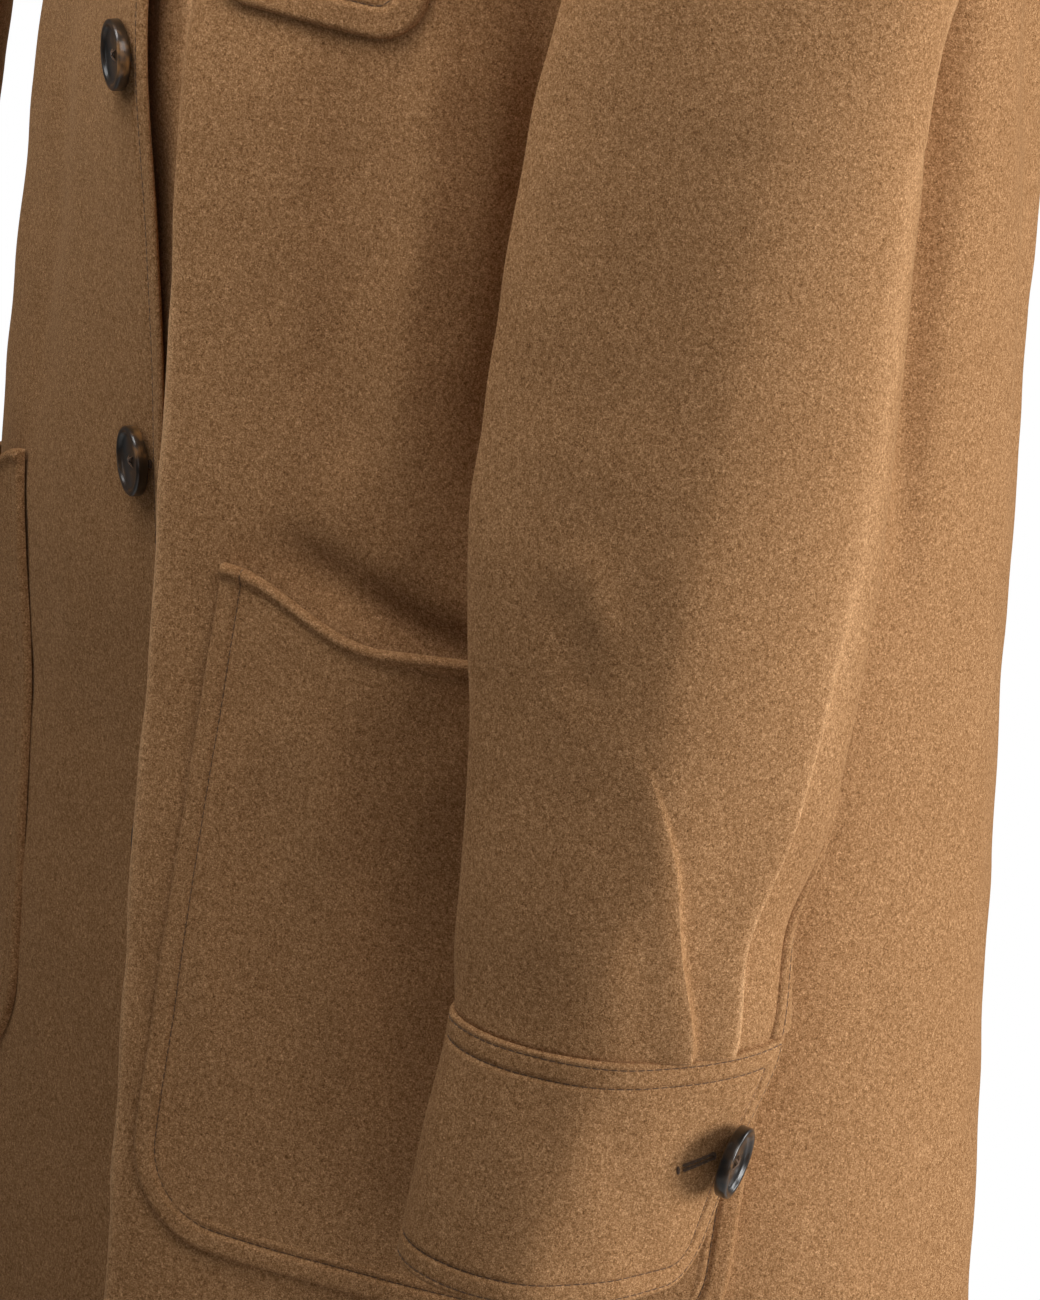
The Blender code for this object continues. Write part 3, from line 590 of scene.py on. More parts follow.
def shell(name: str, node: str, outer: Array, inner: Array, finish: bpy.types.Material, closed: bool = False,
          flip: bool = False, raised: Optional[Array] = None) -> bpy.types.Object:
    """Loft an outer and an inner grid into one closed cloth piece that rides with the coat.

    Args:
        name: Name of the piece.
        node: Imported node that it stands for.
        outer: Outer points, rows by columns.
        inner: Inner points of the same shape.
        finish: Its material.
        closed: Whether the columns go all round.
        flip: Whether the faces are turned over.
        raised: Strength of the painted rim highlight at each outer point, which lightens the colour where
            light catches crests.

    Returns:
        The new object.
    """
    rows, columns = outer.shape[:2]
    count = rows * columns
    index = np.arange(count).reshape(rows, columns)
    if closed:
        index = close_round(index)
    cloth = quads(index)
    borders = [index[0], index[-1][::-1]]
    if not closed:
        borders += [index[::-1, 0], index[:, -1]]
    rim = [np.stack([b[1:], b[:-1], b[:-1] + count, b[1:] + count], -1) for b in borders]
    faces = np.concatenate([cloth, cloth[:, ::-1] + count] + rim)
    if flip:
        faces = faces[:, ::-1]
    points = np.concatenate([outer.reshape(-1, 3), inner.reshape(-1, 3)])
    thing = add_mesh(name, points, faces, finish, node=node)
    if raised is not None:
        # painted highlight: outer points carry the rim highlight strength, inner points none
        values = np.concatenate([raised.ravel(), np.zeros(count)])
        thing.data.attributes.new(PAINTED_RIM_HIGHLIGHT, "FLOAT", "POINT").data.foreach_set("value", values)
    return thing


def put(name: str, data: bpy.types.ID) -> bpy.types.Object:
    """Link a new object into the scene.

    Args:
        name: Its name.
        data: Its mesh, light or camera.

    Returns:
        The new object.
    """
    thing = bpy.data.objects.new(name, data)
    bpy.context.scene.collection.objects.link(thing)
    return thing


def add_mesh(name: str, points: Array, faces: Array, finish: bpy.types.Material,
             node: Optional[str] = None) -> bpy.types.Object:
    """Add a smooth mesh that rides with the coat.

    Args:
        name: Name of the piece.
        points: Its points.
        faces: Its faces, as rows of point numbers.
        finish: Its material.
        node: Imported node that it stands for, if there is one.

    Returns:
        The new object.
    """
    mesh = bpy.data.meshes.new(name)
    mesh.from_pydata(points.tolist(), [], faces.tolist())
    mesh.update()
    mesh.shade_smooth()
    mesh.set_sharp_from_angle(angle=SHARP_ANGLE)
    mesh.materials.append(finish)
    thing = put(name, mesh)
    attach(thing, "root")
    if node is not None:
        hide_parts(node)
    LOG.info("%s: %d points", name, len(points))
    return thing


class Value:
    """A shader socket whose arithmetic adds Math nodes."""

    def __init__(self, graph: "Graph", socket: bpy.types.NodeSocket) -> None:
        """Wrap a socket of a graph."""
        self.graph = graph
        self.socket = socket

    def math(self, operation: str, first: Any, second: Any) -> "Value":
        """Add one Math node with two numbers or values."""
        return self.graph.node("ShaderNodeMath", {"operation": operation}, {0: first, 1: second})

    def __add__(self, other: Any) -> "Value":
        """Sum."""
        return self.math("ADD", self, other)

    __radd__ = __add__

    def __mul__(self, other: Any) -> "Value":
        """Product."""
        return self.math("MULTIPLY", self, other)

    __rmul__ = __mul__

    def __sub__(self, other: Any) -> "Value":
        """Difference."""
        return self.math("SUBTRACT", self, other)

    def __rsub__(self, other: Any) -> "Value":
        """Difference from a number."""
        return self.math("SUBTRACT", other, self)


class Graph:
    """A node tree that is filled node by node."""

    def __init__(self, tree: bpy.types.NodeTree) -> None:
        """Take an empty or default tree."""
        self.tree = tree

    def node(self, kind: str, settings: Optional[dict[str, Any]] = None,
             sockets: Optional[dict[Any, Any]] = None, result: Union[int, str, None] = 0) -> Optional[Value]:
        """Add one node.

        Args:
            kind: Node type.
            settings: Attributes, set first; stops gives a ramp's (place, colour) rows.
            sockets: Input numbers, colours or links by name or number.
            result: Output to return, or None for a node without one.

        Returns:
            The wanted output.
        """
        made = self.tree.nodes.new(kind)
        for name, value in (settings or {}).items():
            if name == "stops":
                while len(made.color_ramp.elements) < len(value):
                    made.color_ramp.elements.new(0.5)
                for stop, (place, colour) in zip(made.color_ramp.elements, value):
                    stop.position = place
                    stop.color = colour
            else:
                setattr(made, name, value)
        self.feed(made, sockets or {})
        return None if result is None else Value(self, made.outputs[result])

    def feed(self, made: bpy.types.Node, sockets: dict[Any, Any]) -> None:
        """Link or set inputs of a node.

        Args:
            made: The node.
            sockets: Input numbers, colours or links by name or number.
        """
        for name, value in sockets.items():
            if isinstance(value, Value):
                self.tree.links.new(value.socket, made.inputs[name])
            else:
                made.inputs[name].default_value = value

    def mix(self, share: Any, low: Colour, high: Colour) -> Value:
        """Mix two colours by a share of the second."""
        return self.node("ShaderNodeMix", {"data_type": "RGBA"}, {0: share, 6: low, 7: high}, 2)

    def ramp(self, tone: Value, places: Sequence[float], colours: Sequence[Colour]) -> Value:
        """Colours at places along a tone."""
        return self.node("ShaderNodeValToRGB", {"stops": tuple(zip(places, colours))}, {0: tone})

    def noise(self, where: Value, scale: float, detail: float = 2.0, rough: float = 0.5,
              curl: float = 0.0) -> Value:
        """Noise of 0 to 1 by swells a metre, number and strength of finer layers, and bend into curls."""
        return self.node("ShaderNodeTexNoise", {"noise_dimensions": "3D"}, {
            "Vector": where, "Scale": scale, "Detail": detail, "Roughness": rough, "Distortion": curl})


def new_material(name: str) -> tuple[bpy.types.Material, Graph, bpy.types.Node, Value]:
    """Start a material.

    Args:
        name: Its name.

    Returns:
        The material, its graph, its Principled shader and the place on the piece.
    """
    material = bpy.data.materials.new(name)
    material.use_nodes = True
    graph = Graph(material.node_tree)
    shader = material.node_tree.nodes["Principled BSDF"]
    return material, graph, shader, graph.node("ShaderNodeTexCoord", result="Object")


@dataclass(frozen=True)
class Wool:
    """Felted camel wool: a short nap with a mottled grain and lighter fibre tips, plus a painted rim
    highlight along marked crests and edges.
    """

    name: str = "camel_wool"
    deep: Colour = (0.130, 0.059, 0.0215, 1.0)
    main: Colour = (0.374, 0.190, 0.081, 1.0)
    tips: Colour = (0.868, 0.519, 0.269, 1.0)
    sheen: Colour = (0.95, 0.66, 0.40, 1.0)
    nap: float = 0.0005
    grain: float = 1900.0
    clumps: float = 0.36
    clouds: float = 22.0
    shares: tuple[float, float, float] = (1.30, 0.42, 0.05)
    # edge: how much the painted rim highlight lightens the colour
    edge: float = 0.17
    level: float = 0.385
    stops: tuple[float, float, float] = (0.22, 0.50, 0.86)
    sheen_weight: float = 0.24
    sheen_rough: float = 0.20

    def material(self) -> bpy.types.Material:
        """Build the material.

        Returns:
            The material, whose colour follows flecks and clumps and is lighter where the painted rim
            highlight marks crests and edges.
        """
        material, graph, shader, where = new_material(self.name)
        fleck = graph.noise(where, self.grain, 2.0, 0.6, 1.4)
        clump = graph.noise(where, self.grain * self.clumps, 2.0, 0.5, 0.8)
        cloud = graph.noise(where, self.clouds, 2.0)
        # painted highlight: this attribute lightens the base colour along crests and contour edges in place
        # of rim light
        raised = graph.node("ShaderNodeAttribute", {"attribute_name": PAINTED_RIM_HIGHLIGHT}, result="Fac")
        fine, coarse, broad = self.shares
        tone = fleck * fine + clump * coarse + cloud * broad + raised * self.edge - self.level
        graph.feed(shader, {
            "Base Color": graph.ramp(tone, self.stops, (self.deep, self.main, self.tips)),
            "Roughness": 0.98 - fleck * 0.1,
            "Normal": graph.node("ShaderNodeBump", None, {
                "Strength": 0.5, "Distance": self.nap, "Height": fleck * 0.7 + clump * 0.5}),
            "Specular IOR Level": 0.0,
            "Sheen Weight": self.sheen_weight,
            "Sheen Roughness": self.sheen_rough,
            "Sheen Tint": self.sheen})
        return material


@dataclass(frozen=True)
class Horn:
    """Polished dark horn with amber streaks."""

    name: str = "dark_horn"
    dark: Colour = (0.010, 0.007, 0.005, 1.0)
    brown: Colour = (0.045, 0.024, 0.011, 1.0)
    amber: Colour = (0.340, 0.165, 0.055, 1.0)
    clouds: float = 70.0
    streaks: tuple[float, float, float] = (60.0, 420.0, 200.0)
    stops: tuple[float, float, float] = (0.48, 0.62, 0.76)

    def material(self) -> bpy.types.Material:
        """Build the material.

        Returns:
            The material, dark with amber where clouds and streaks meet.
        """
        material, graph, shader, where = new_material(self.name)
        cloud = graph.noise(where, self.clouds, 3.0, 0.6)
        drawn = graph.node("ShaderNodeVectorMath", {"operation": "MULTIPLY"}, {0: where, 1: self.streaks})
        streak = graph.noise(drawn, 1.0, 3.0)
        tone = cloud * 0.7 + streak * 0.4
        graph.feed(shader, {
            "Base Color": graph.ramp(tone, self.stops, (self.dark, self.brown, self.amber)),
            "Roughness": 0.24 + streak * 0.16,
            "Coat Weight": 0.4,
            "Coat Roughness": 0.12})
        return material


@dataclass(frozen=True)
class Thread:
    """Twisted sewing thread."""

    name: str = "brown_thread"
    dark: Colour = (0.070, 0.032, 0.013, 1.0)
    light: Colour = (0.150, 0.076, 0.032, 1.0)
    twists: float = 1500.0

    def material(self) -> bpy.types.Material:
        """Build the material.

        Returns:
            The material, light and dark along the twist.
        """
        material, graph, shader, where = new_material(self.name)
        twist = graph.noise(where, self.twists, 1.0)
        graph.feed(shader, {
            "Base Color": graph.mix(twist, self.dark, self.light),
            "Roughness": 0.75 + twist * 0.2,
            "Sheen Weight": 0.2})
        return material


@dataclass(frozen=True)
class Finishes:
    """The materials shared by the pieces."""

    wool: bpy.types.Material
    horn: bpy.types.Material
    thread: bpy.types.Material
    binding: bpy.types.Material


@dataclass(frozen=True)
class StitchRow:
    """One row of machine stitches that follows a line on the cloth."""

    length: float = 0.0027
    gap: float = 0.0003
    radius: float = 0.00020
    arch: float = 0.00006

    def mesh(self, line: Array, normals: Array) -> tuple[Array, Array]:
        """Points and faces of the row's stitches.

        Args:
            line: Points along the cloth.
            normals: Outward normals there.

        Returns:
            Points, and faces as rows of point numbers.
        """
        run = run_length(line)
        starts = np.arange(0.0, run[-1] - self.length, self.length + self.gap)
        shares = np.array([0.0, 0.25, 0.5, 0.75, 1.0])
        girth = np.array([0.45, 1.0, 1.0, 1.0, 0.45])
        rise = np.array([-0.6, 0.6, 1.0, 0.6, -0.6])
        at = starts[:, None] + shares[None] * self.length
        centre = np.stack([np.interp(at, run, line[:, k]) for k in range(3)], -1)
        normal = unit(np.stack([np.interp(at, run, normals[:, k]) for k in range(3)], -1))
        along = unit(np.gradient(centre, axis=1))
        across = unit(np.cross(along, normal))
        centre = centre + normal * (rise * self.arch)[None, :, None]
        turns = np.arange(6) * math.pi / 3
        ring = across[:, :, None] * np.cos(turns)[:, None] + normal[:, :, None] * np.sin(turns)[:, None]
        points = centre[:, :, None] + ring * (girth * self.radius)[None, :, None, None]
        index = np.arange(points[..., 0].size).reshape(points.shape[:3])
        return points.reshape(-1, 3), quads(close_round(index))


def sew(name: str, rows: Iterable[tuple[Array, Array]], finish: bpy.types.Material,
        stitch: StitchRow = StitchRow()) -> None:
    """Add all the stitch rows of a piece as one object.

    Args:
        name: Name of the object.
        rows: Lines and normals, a pair for each row.
        finish: Thread material.
        stitch: Stitch sizes.
    """
    points, faces, first = [], [], 0
    for line, normals in rows:
        row_points, row_faces = stitch.mesh(line, normals)
        points.append(row_points)
        faces.append(row_faces + first)
        first += len(row_points)
    add_mesh(name, np.concatenate(points), np.concatenate(faces), finish)


def groove(distance: Array, place: float, width: float, depth: float) -> Array:
    """A stitch groove's depth at distances from an edge."""
    return -depth * np.exp(-((distance - place) / width) ** 2)


def rounded(distance: Array, radius: float) -> Array:
    """How far a rounded edge falls back at distances from it."""
    short = np.clip(radius - distance, 0.0, radius)
    return radius - np.sqrt(np.maximum(radius ** 2 - short ** 2, 0.0))


def corner_distance(aside: Array, foot: Array, radius: float) -> Array:
    """Distance from two edges that meet in a round corner.

    Args:
        aside: Distances from the upright edge.
        foot: Distances from the level edge.
        radius: Radius of the corner.

    Returns:
        Distances from the nearest edge, and 0 outside the corner.
    """
    corner = radius - np.hypot(np.maximum(radius - aside, 0), np.maximum(radius - foot, 0))
    within = (aside < radius) & (foot < radius)
    return np.maximum(np.where(within, corner, np.minimum(aside, foot)), 0.0)


def spread(length: float, step: float, fine: float, band: float) -> Array:
    """Places along a length, close together near both ends.

    Args:
        length: The whole length.
        step: Step in the middle.
        fine: Step near the ends.
        band: How far the fine step goes in.

    Returns:
        Places from 0 to the length.
    """
    near = np.arange(0.0, band, fine)
    middle = np.linspace(band, length - band, max(4, int((length - 2 * band) / step)))
    return np.concatenate([near, middle, (length - near)[::-1]])


@dataclass
class Panel:
    """A front or the back, laid on the body form."""

    wall: float = 0.0024
    arm_share: float = 0.60
    arm_length: float = 0.30
    swell: float = 0.0008
    ripple: float = 0.0003
    per_degree: float = 0.0036
    close_z: float = -0.86
    inside_share: float = 0.45
    seam_fade: float = 6.0
    creases: tuple[Crease, ...] = ()

    def heights(self, fine: float, coarse: float) -> Array:
        """Row places from 0 at the hem to 1 at the shoulder, fine where the coat is seen close.

        Args:
            fine: Row step in the close part, in metres.
            coarse: Row step elsewhere.

        Returns:
            Shares of the panel's border.
        """
        low = BODY.armhole_low
        z = np.concatenate([np.arange(BODY.hem_z, self.close_z, coarse), np.arange(self.close_z, low, fine)])
        body = np.interp(z, [BODY.hem_z, low], [0, self.arm_share])
        step = coarse * (1 - self.arm_share) / self.arm_length
        return np.concatenate([body, np.arange(self.arm_share, 1.0 - step / 2, step), [1.0]])

    def places(self, u: Array, v: Array, inner: Array, side: Side, back: bool) -> Array:
        """Angle and height of the grid from its inner border out to the side and armhole.

        Args:
            u: Shares across.
            v: Shares up the border.
            inner: Inner border places, a row for each v.
            side: Side of the wearer.
            back: Whether this is a half of the back.

        Returns:
            Places with angle and height on the last axis.
        """
        arm = np.clip((v - self.arm_share) / (1 - self.arm_share), 0, 1) * 180.0
        hole = BODY.armhole(180.0 + arm if back else 180.0 - arm, side)
        below = np.interp(v, [0, self.arm_share], [BODY.hem_z, BODY.armhole_low])
        z = np.where(v <= self.arm_share, below, hole[:, 1])
        seam = side.value * BODY.seam_angle(z, side, back)
        angle = np.where(v <= self.arm_share, seam, side.value * hole[:, 0])
        angle = np.maximum(angle, seam) if back else np.minimum(angle, seam)
        outer = np.stack([side.value * angle, z], -1)
        top_z = inner[-1, 1] + (outer[-1, 1] - inner[-1, 1]) * u
        top = np.stack([BODY.seam_angle(top_z, side, back), top_z], -1)
        bottom = inner[0] + (outer[0] - inner[0]) * u[:, None]
        s, t = u[None, :, None], v[:, None, None]
        ruled = (1 - t) * bottom[None] + t * top[None] + (1 - s) * inner[:, None] + s * outer[:, None]
        corners = ((1 - s) * (1 - t) * bottom[0] + s * (1 - t) * bottom[-1]
                   + (1 - s) * t * top[0] + s * t * top[-1])
        return ruled - corners

    def relief(self, places: Array) -> Array:
        """Lift of the creases and the cloth's own unevenness, none at the side seams.

        Args:
            places: Places with angle and height on the last axis.

        Returns:
            Lift in metres.
        """
        lift = crease_lift(self.creases, places[..., 0], places[..., 1], self.per_degree)
        flat = places * np.array([self.per_degree, 1.0])
        lift = lift + self.swell * soft_noise(flat, 0.12, 11) + self.ripple * soft_noise(flat, 0.035, 12)
        return lift * ease(np.abs(np.abs(places[..., 0]) - 90.0) / self.seam_fade)


@dataclass
class Front(Panel):
    """One front with its rounded, stitched edge."""

    side: Side = Side.LEFT
    edge_row: float = 0.0080
    edge_top: float = 0.83
    hem_row: float = 0.030
    neck_share: float = 0.60 + 0.40 * 7 / 12
    lap_share: float = 0.2
    lap_room: float = 0.001
    lap_start: float = 0.024
    lap_slope: float = 0.017
    edge_fade: float = 0.03
    # painted highlight: these fields place a lighter band along the fold's crest, standing in for rim light
    nap: float = 1.4
    highlight_turn: float = -1.4
    highlight_width: float = 1.6
    highlight_top: float = -0.22
    columns: int = 150
    column_share: float = 0.45
    column_power: float = 2.2
    close_share: float = 0.045
    fine: float = 0.003
    coarse: float = 0.009

    def inner_border(self, v: Array) -> Array:
        """Border up the closing edge and round the neck.

        Args:
            v: Shares up the border.

        Returns:
            Places with angle and height on the last axis.
        """
        sign = self.side.value
        marks = [BODY.hem_z, BODY.armhole_low, BODY.neck_front_z]
        edge_z = np.interp(v, [0, self.arm_share, self.neck_share], marks)
        edge_x = BODY.underlap_x if self.side is Side.LEFT else BODY.overlap_x
        edge_angle = BODY.front_angle(edge_x, edge_z)
        share = np.clip((v - self.neck_share) / (1 - self.neck_share), 0, 1)
        turn = np.clip((share - self.lap_share) / (1 - self.lap_share), 0, 1) * 90.0
        neck_angle, neck_z = BODY.neckline(turn)
        seam = sign * BODY.seam_angle(neck_z - BODY.neck_ease, self.side, False)
        lap = edge_angle * np.clip(1 - share / self.lap_share, 0, 1)
        angle = np.where(turn > 0, sign * np.minimum(neck_angle, seam), lap)
        border = np.stack([angle, np.where(share > 0, neck_z, edge_z) - BODY.neck_ease], -1)
        border[0, 1] = BODY.hem_z
        return border

    def form(self, places: Array) -> tuple[Array, Array]:
        """Cloth with the lap behind the other front.

        Args:
            places: Places with angle and height on the last axis.

        Returns:
            Points and outward normals.
        """
        points, normals = BODY.cloth(places)
        lift = self.relief(places)
        if self.side is Side.LEFT:
            depth = self.wall + self.lap_room + BODY.gape.at("depth", places[..., 1])
            lift = lift - depth * ease((BODY.overlap_x + self.lap_start - points[..., 0]) / self.lap_slope)
        else:
            lift = lift * ease((BODY.overlap_x - points[..., 0]) / self.edge_fade)
        return points + normals * lift[..., None], normals

    def raised(self, places: Array) -> Array:
        """Strength of the painted rim highlight along the fold's crest, below the chest.

        Args:
            places: Places with angle and height on the last axis.

        Returns:
            Shares, above 1 at the crest.
        """
        gap = places[..., 0] - BODY.fold.at("angle", places[..., 1]) - self.highlight_turn
        below = ease((self.highlight_top - places[..., 1]) / 0.1)
        return self.nap * np.exp(-(gap / self.highlight_width) ** 2) * below

    def build(self, finishes: Finishes) -> None:
        """Build the front and its stitching.

        Args:
            finishes: The materials.
        """
        share = np.linspace(0, 1, self.columns)
        u = self.column_share * share + (1 - self.column_share) * share ** self.column_power
        u = np.unique(np.concatenate([u, np.linspace(0, self.close_share, 16)]))
        v = self.heights(self.fine, self.coarse)
        places = self.places(u, v, self.inner_border(v), self.side, False)
        points, _ = self.form(places)
        normals = grid_normals(points, False) * self.side.value
        edge = apart(points, points[:, :1])
        foot = points[..., 2] - BODY.hem_z
        drop = rounded(edge, self.wall / 2) + rounded(foot, self.wall / 2)
        fine = groove(edge, self.edge_row, 0.0012, 0.0006) + groove(foot, self.hem_row, 0.0015, 0.0004)
        outer = points + normals * (fine - drop)[..., None]
        inner = points - normals * (self.wall - np.minimum(drop, self.inside_share * self.wall))[..., None]
        node = self.side.of("front")
        thing = shell(f"cloth_{node}", node, outer, inner, finishes.wool, flip=self.side is Side.RIGHT,
                      raised=self.raised(places))
        column = int(np.argmin(np.abs(np.median(edge, axis=0) - self.edge_row)))
        rows = v < self.edge_top
        sew(f"stitches_{node}", [(outer[rows, column], normals[rows, column])], finishes.thread)


@dataclass
class Back(Panel):
    """The back in one piece, as two like halves on one centre line."""

    columns: int = 70
    fine: float = 0.006
    coarse: float = 0.010
    neck_share: float = 0.60 + 0.40 * 8 / 12

    def build(self, finishes: Finishes) -> None:
        """Build the back.

        Args:
            finishes: The materials.
        """
        u = np.linspace(0, 1, self.columns)
        v = self.heights(self.fine, self.coarse)
        turn = 180.0 - np.clip((v - self.neck_share) / (1 - self.neck_share), 0, 1) * 90.0
        neck_angle, neck_z = BODY.neckline(turn)
        neck_z = neck_z - BODY.neck_ease
        marks = [BODY.hem_z, BODY.armhole_low, -BODY.neck_back_drop - BODY.neck_ease]
        z = np.where(turn < 180.0, neck_z, np.interp(v, [0, self.arm_share, self.neck_share], marks))
        outer, inner = [], []
        for side in Side:
            seam = side.value * BODY.seam_angle(neck_z, side, True)
            border = np.stack([side.value * np.maximum(neck_angle, seam), z], -1)
            places = self.places(u, v, border, side, True)
            points, normals = BODY.cloth(places)
            lift = self.relief(places) * ease((180.0 - np.abs(places[..., 0])) / self.seam_fade)
            foot = rounded(points[..., 2] - BODY.hem_z, self.wall / 2)
            below = self.wall - np.minimum(foot, self.inside_share * self.wall)
            outer.append(points + normals * (lift - foot)[..., None])
            inner.append(points + normals * (lift - below)[..., None])
        thing = self.join(outer, inner, finishes)

    def join(self, outer: Sequence[Array], inner: Sequence[Array],
             finishes: Finishes) -> bpy.types.Object:
        """Join two half grids that share their first column below the neck.

        Args:
            outer: Outer points of both halves.
            inner: Inner points of both halves.
            finishes: The materials.

        Returns:
            The joined piece.
        """
        rows, columns = outer[0].shape[:2]
        half = rows * columns
        same = np.arange(2 * half)
        shared = np.flatnonzero(apart(outer[0][:, 0], outer[1][:, 0]) < 1e-5) * columns
        same[half + shared] = shared
        faces = []
        for k, turned in ((0, True), (1, False)):
            cloth = quads(same[k * half:(k + 1) * half].reshape(rows, columns))
            faces.append(cloth[:, ::-1] if turned else cloth)
        faces = np.concatenate(faces)
        sides = np.stack([faces, np.roll(faces, -1, axis=1)], -1).reshape(-1, 2)
        known = {(int(a), int(b)) for a, b in sides}
        count = 2 * half
        rim = np.array([(b, a, a + count, b + count) for a, b in sorted(known) if (b, a) not in known])
        points = np.concatenate([grid.reshape(-1, 3) for grid in (*outer, *inner)])
        every = np.concatenate([faces, faces[:, ::-1] + count, rim])
        used, every = np.unique(every, return_inverse=True)
        return add_mesh("cloth_back", points[used], every.reshape(-1, 4), finishes.wool, node="back")


@dataclass
class Sleeve:
    """One sleeve with its pleats, from the armhole to the cuff seam."""

    side: Side = Side.LEFT
    wall: float = 0.0024
    columns: int = 150
    pleat_step: float = 0.35
    fine: float = 0.003
    per_degree: float = 0.00105
    swell: float = 0.0009
    ripple: float = 0.0003
    seam_lift: float = 0.0008
    cap_rows: int = 34
    cap_drop: float = 0.04
    cap_room: float = 0.0025
    cap_power: float = 1.2
    leave: tuple[float, float, float] = (0.40, -0.15, -0.60)
    leave_share: float = 0.45
    arm_room: float = 0.006
    tuck: float = 0.004
    # painted highlight: these fields place a lighter band along the back edge and pleat crests, standing in
    # for rim light
    nap: float = 0.45
    highlight_turn: float = -62.0
    highlight_width: float = 9.0
    crest_highlight_width: float = 1.4
    creases: tuple[Crease, ...] = ()

    def grid(self) -> tuple[Array, Array, Array]:
        """Outer points, and the angle and height each was made at.

        Returns:
            Points, degrees round the arm and heights, rows by columns.
        """
        turns = np.linspace(-180.0, 180.0, self.columns, endpoint=False)
        near = [pleat.turn + np.arange(-4.0, 5.0, self.pleat_step) for pleat in ARM.pleats]
        turns = np.unique(np.concatenate([turns, *near]).round(3))
        start, normal = BODY.cloth(BODY.armhole(turns, self.side))
        start = start + normal * self.seam_lift
        first_z = ARM.rings.rows[0][0] - self.cap_drop
        level = np.full_like(turns, first_z)
        bent = ARM.follow(turns, np.array([first_z - ARM.cuff_top]))[0]
        end = ARM.points(bent, level, self.side)
        fall = unit(ARM.points(bent, level - 0.01, self.side) - end)
        reach = apart(end, start)[:, None]
        leave = np.array(self.leave) * np.array([self.side.value, 1.0, 1.0])
        leave = unit(normal * self.leave_share + leave)
        t = (np.linspace(0, 1, self.cap_rows) ** self.cap_power)[:, None, None]
        cap = ((2 * t ** 3 - 3 * t ** 2 + 1) * start + (t ** 3 - 2 * t ** 2 + t) * leave * reach
               + (3 * t ** 2 - 2 * t ** 3) * end + (t ** 3 - t ** 2) * fall * reach)
        cap[1:] = BODY.clear(cap[1:], lambda z: self.cap_room + 0.010 * ease((-0.26 - z) / 0.12))
        heights = np.arange(first_z - self.fine, ARM.cuff_top + 0.002, -self.fine)
        heights = np.append(heights, ARM.cuff_top + 0.0006)
        turn = ARM.follow(turns, heights - ARM.cuff_top)
        z = np.broadcast_to(heights[:, None], turn.shape)
        ring = ARM.points(turn, z, self.side)
        away = unit(ARM.points(turn, z, self.side, grow=0.01) - ring)
        arm = ring + away * ARM.pleat_lift(turn, z - ARM.cuff_top)[..., None]
        arm = BODY.clear(arm, lambda h: np.full_like(h, self.arm_room))
        tuck = ARM.points(turn[-1:], z[-1:] - self.tuck, self.side, grow=-0.0026)
        points = np.concatenate([cap, arm, tuck])
        around = np.concatenate([np.broadcast_to(turns, cap.shape[:2]), turn, turn[-1:]])
        return points, around, points[..., 2]

    def raised(self, around: Array, rise: Array) -> Array:
        """Strength of the painted rim highlight on the pleats' crests and the sleeve's back edge.

        Args:
            around: Degrees round the arm.
            rise: Heights above the cuff.

        Returns:
            Shares of 0 to 1.
        """
        edge = np.exp(-((around - self.highlight_turn) / self.highlight_width) ** 2)
        total = self.nap * edge * ease((rise - 0.05) / 0.1)
        for pleat in ARM.pleats:
            gap = around - pleat.crest(rise)
            fade = 1 - ease(np.clip(rise / (1.1 * pleat.reach), 0, 1) ** 2)
            total = total + pleat.nap * np.exp(-(gap / self.crest_highlight_width) ** 2) * fade
        return np.clip(total, 0, 1)

    def build(self, finishes: Finishes) -> None:
        """Build the sleeve.

        Args:
            finishes: The materials.
        """
        points, around, z = self.grid()
        normals = grid_normals(points, True) * self.side.value
        lift = crease_lift(self.creases, around, z, self.per_degree)
        flat = np.stack([np.sin(np.radians(around)) * 0.06, np.cos(np.radians(around)) * 0.06, z], -1)
        lift = lift + self.swell * soft_noise(flat, 0.10, 21) + self.ripple * soft_noise(flat, 0.03, 22)
        start = apart(points, points[:1])
        lift = lift * ease(start / 0.05) * ease(apart(points, points[-1:]) / 0.012)
        outer = points + normals * (lift - rounded(start, 0.0016))[..., None]
        inner = points + normals * (lift - self.wall)[..., None]
        node = self.side.of("sleeve")
        thing = shell(f"cloth_{node}", node, outer, inner, finishes.wool, closed=True,
                      flip=self.side is Side.RIGHT, raised=self.raised(around, z - ARM.cuff_top))
        self.side.of("front")


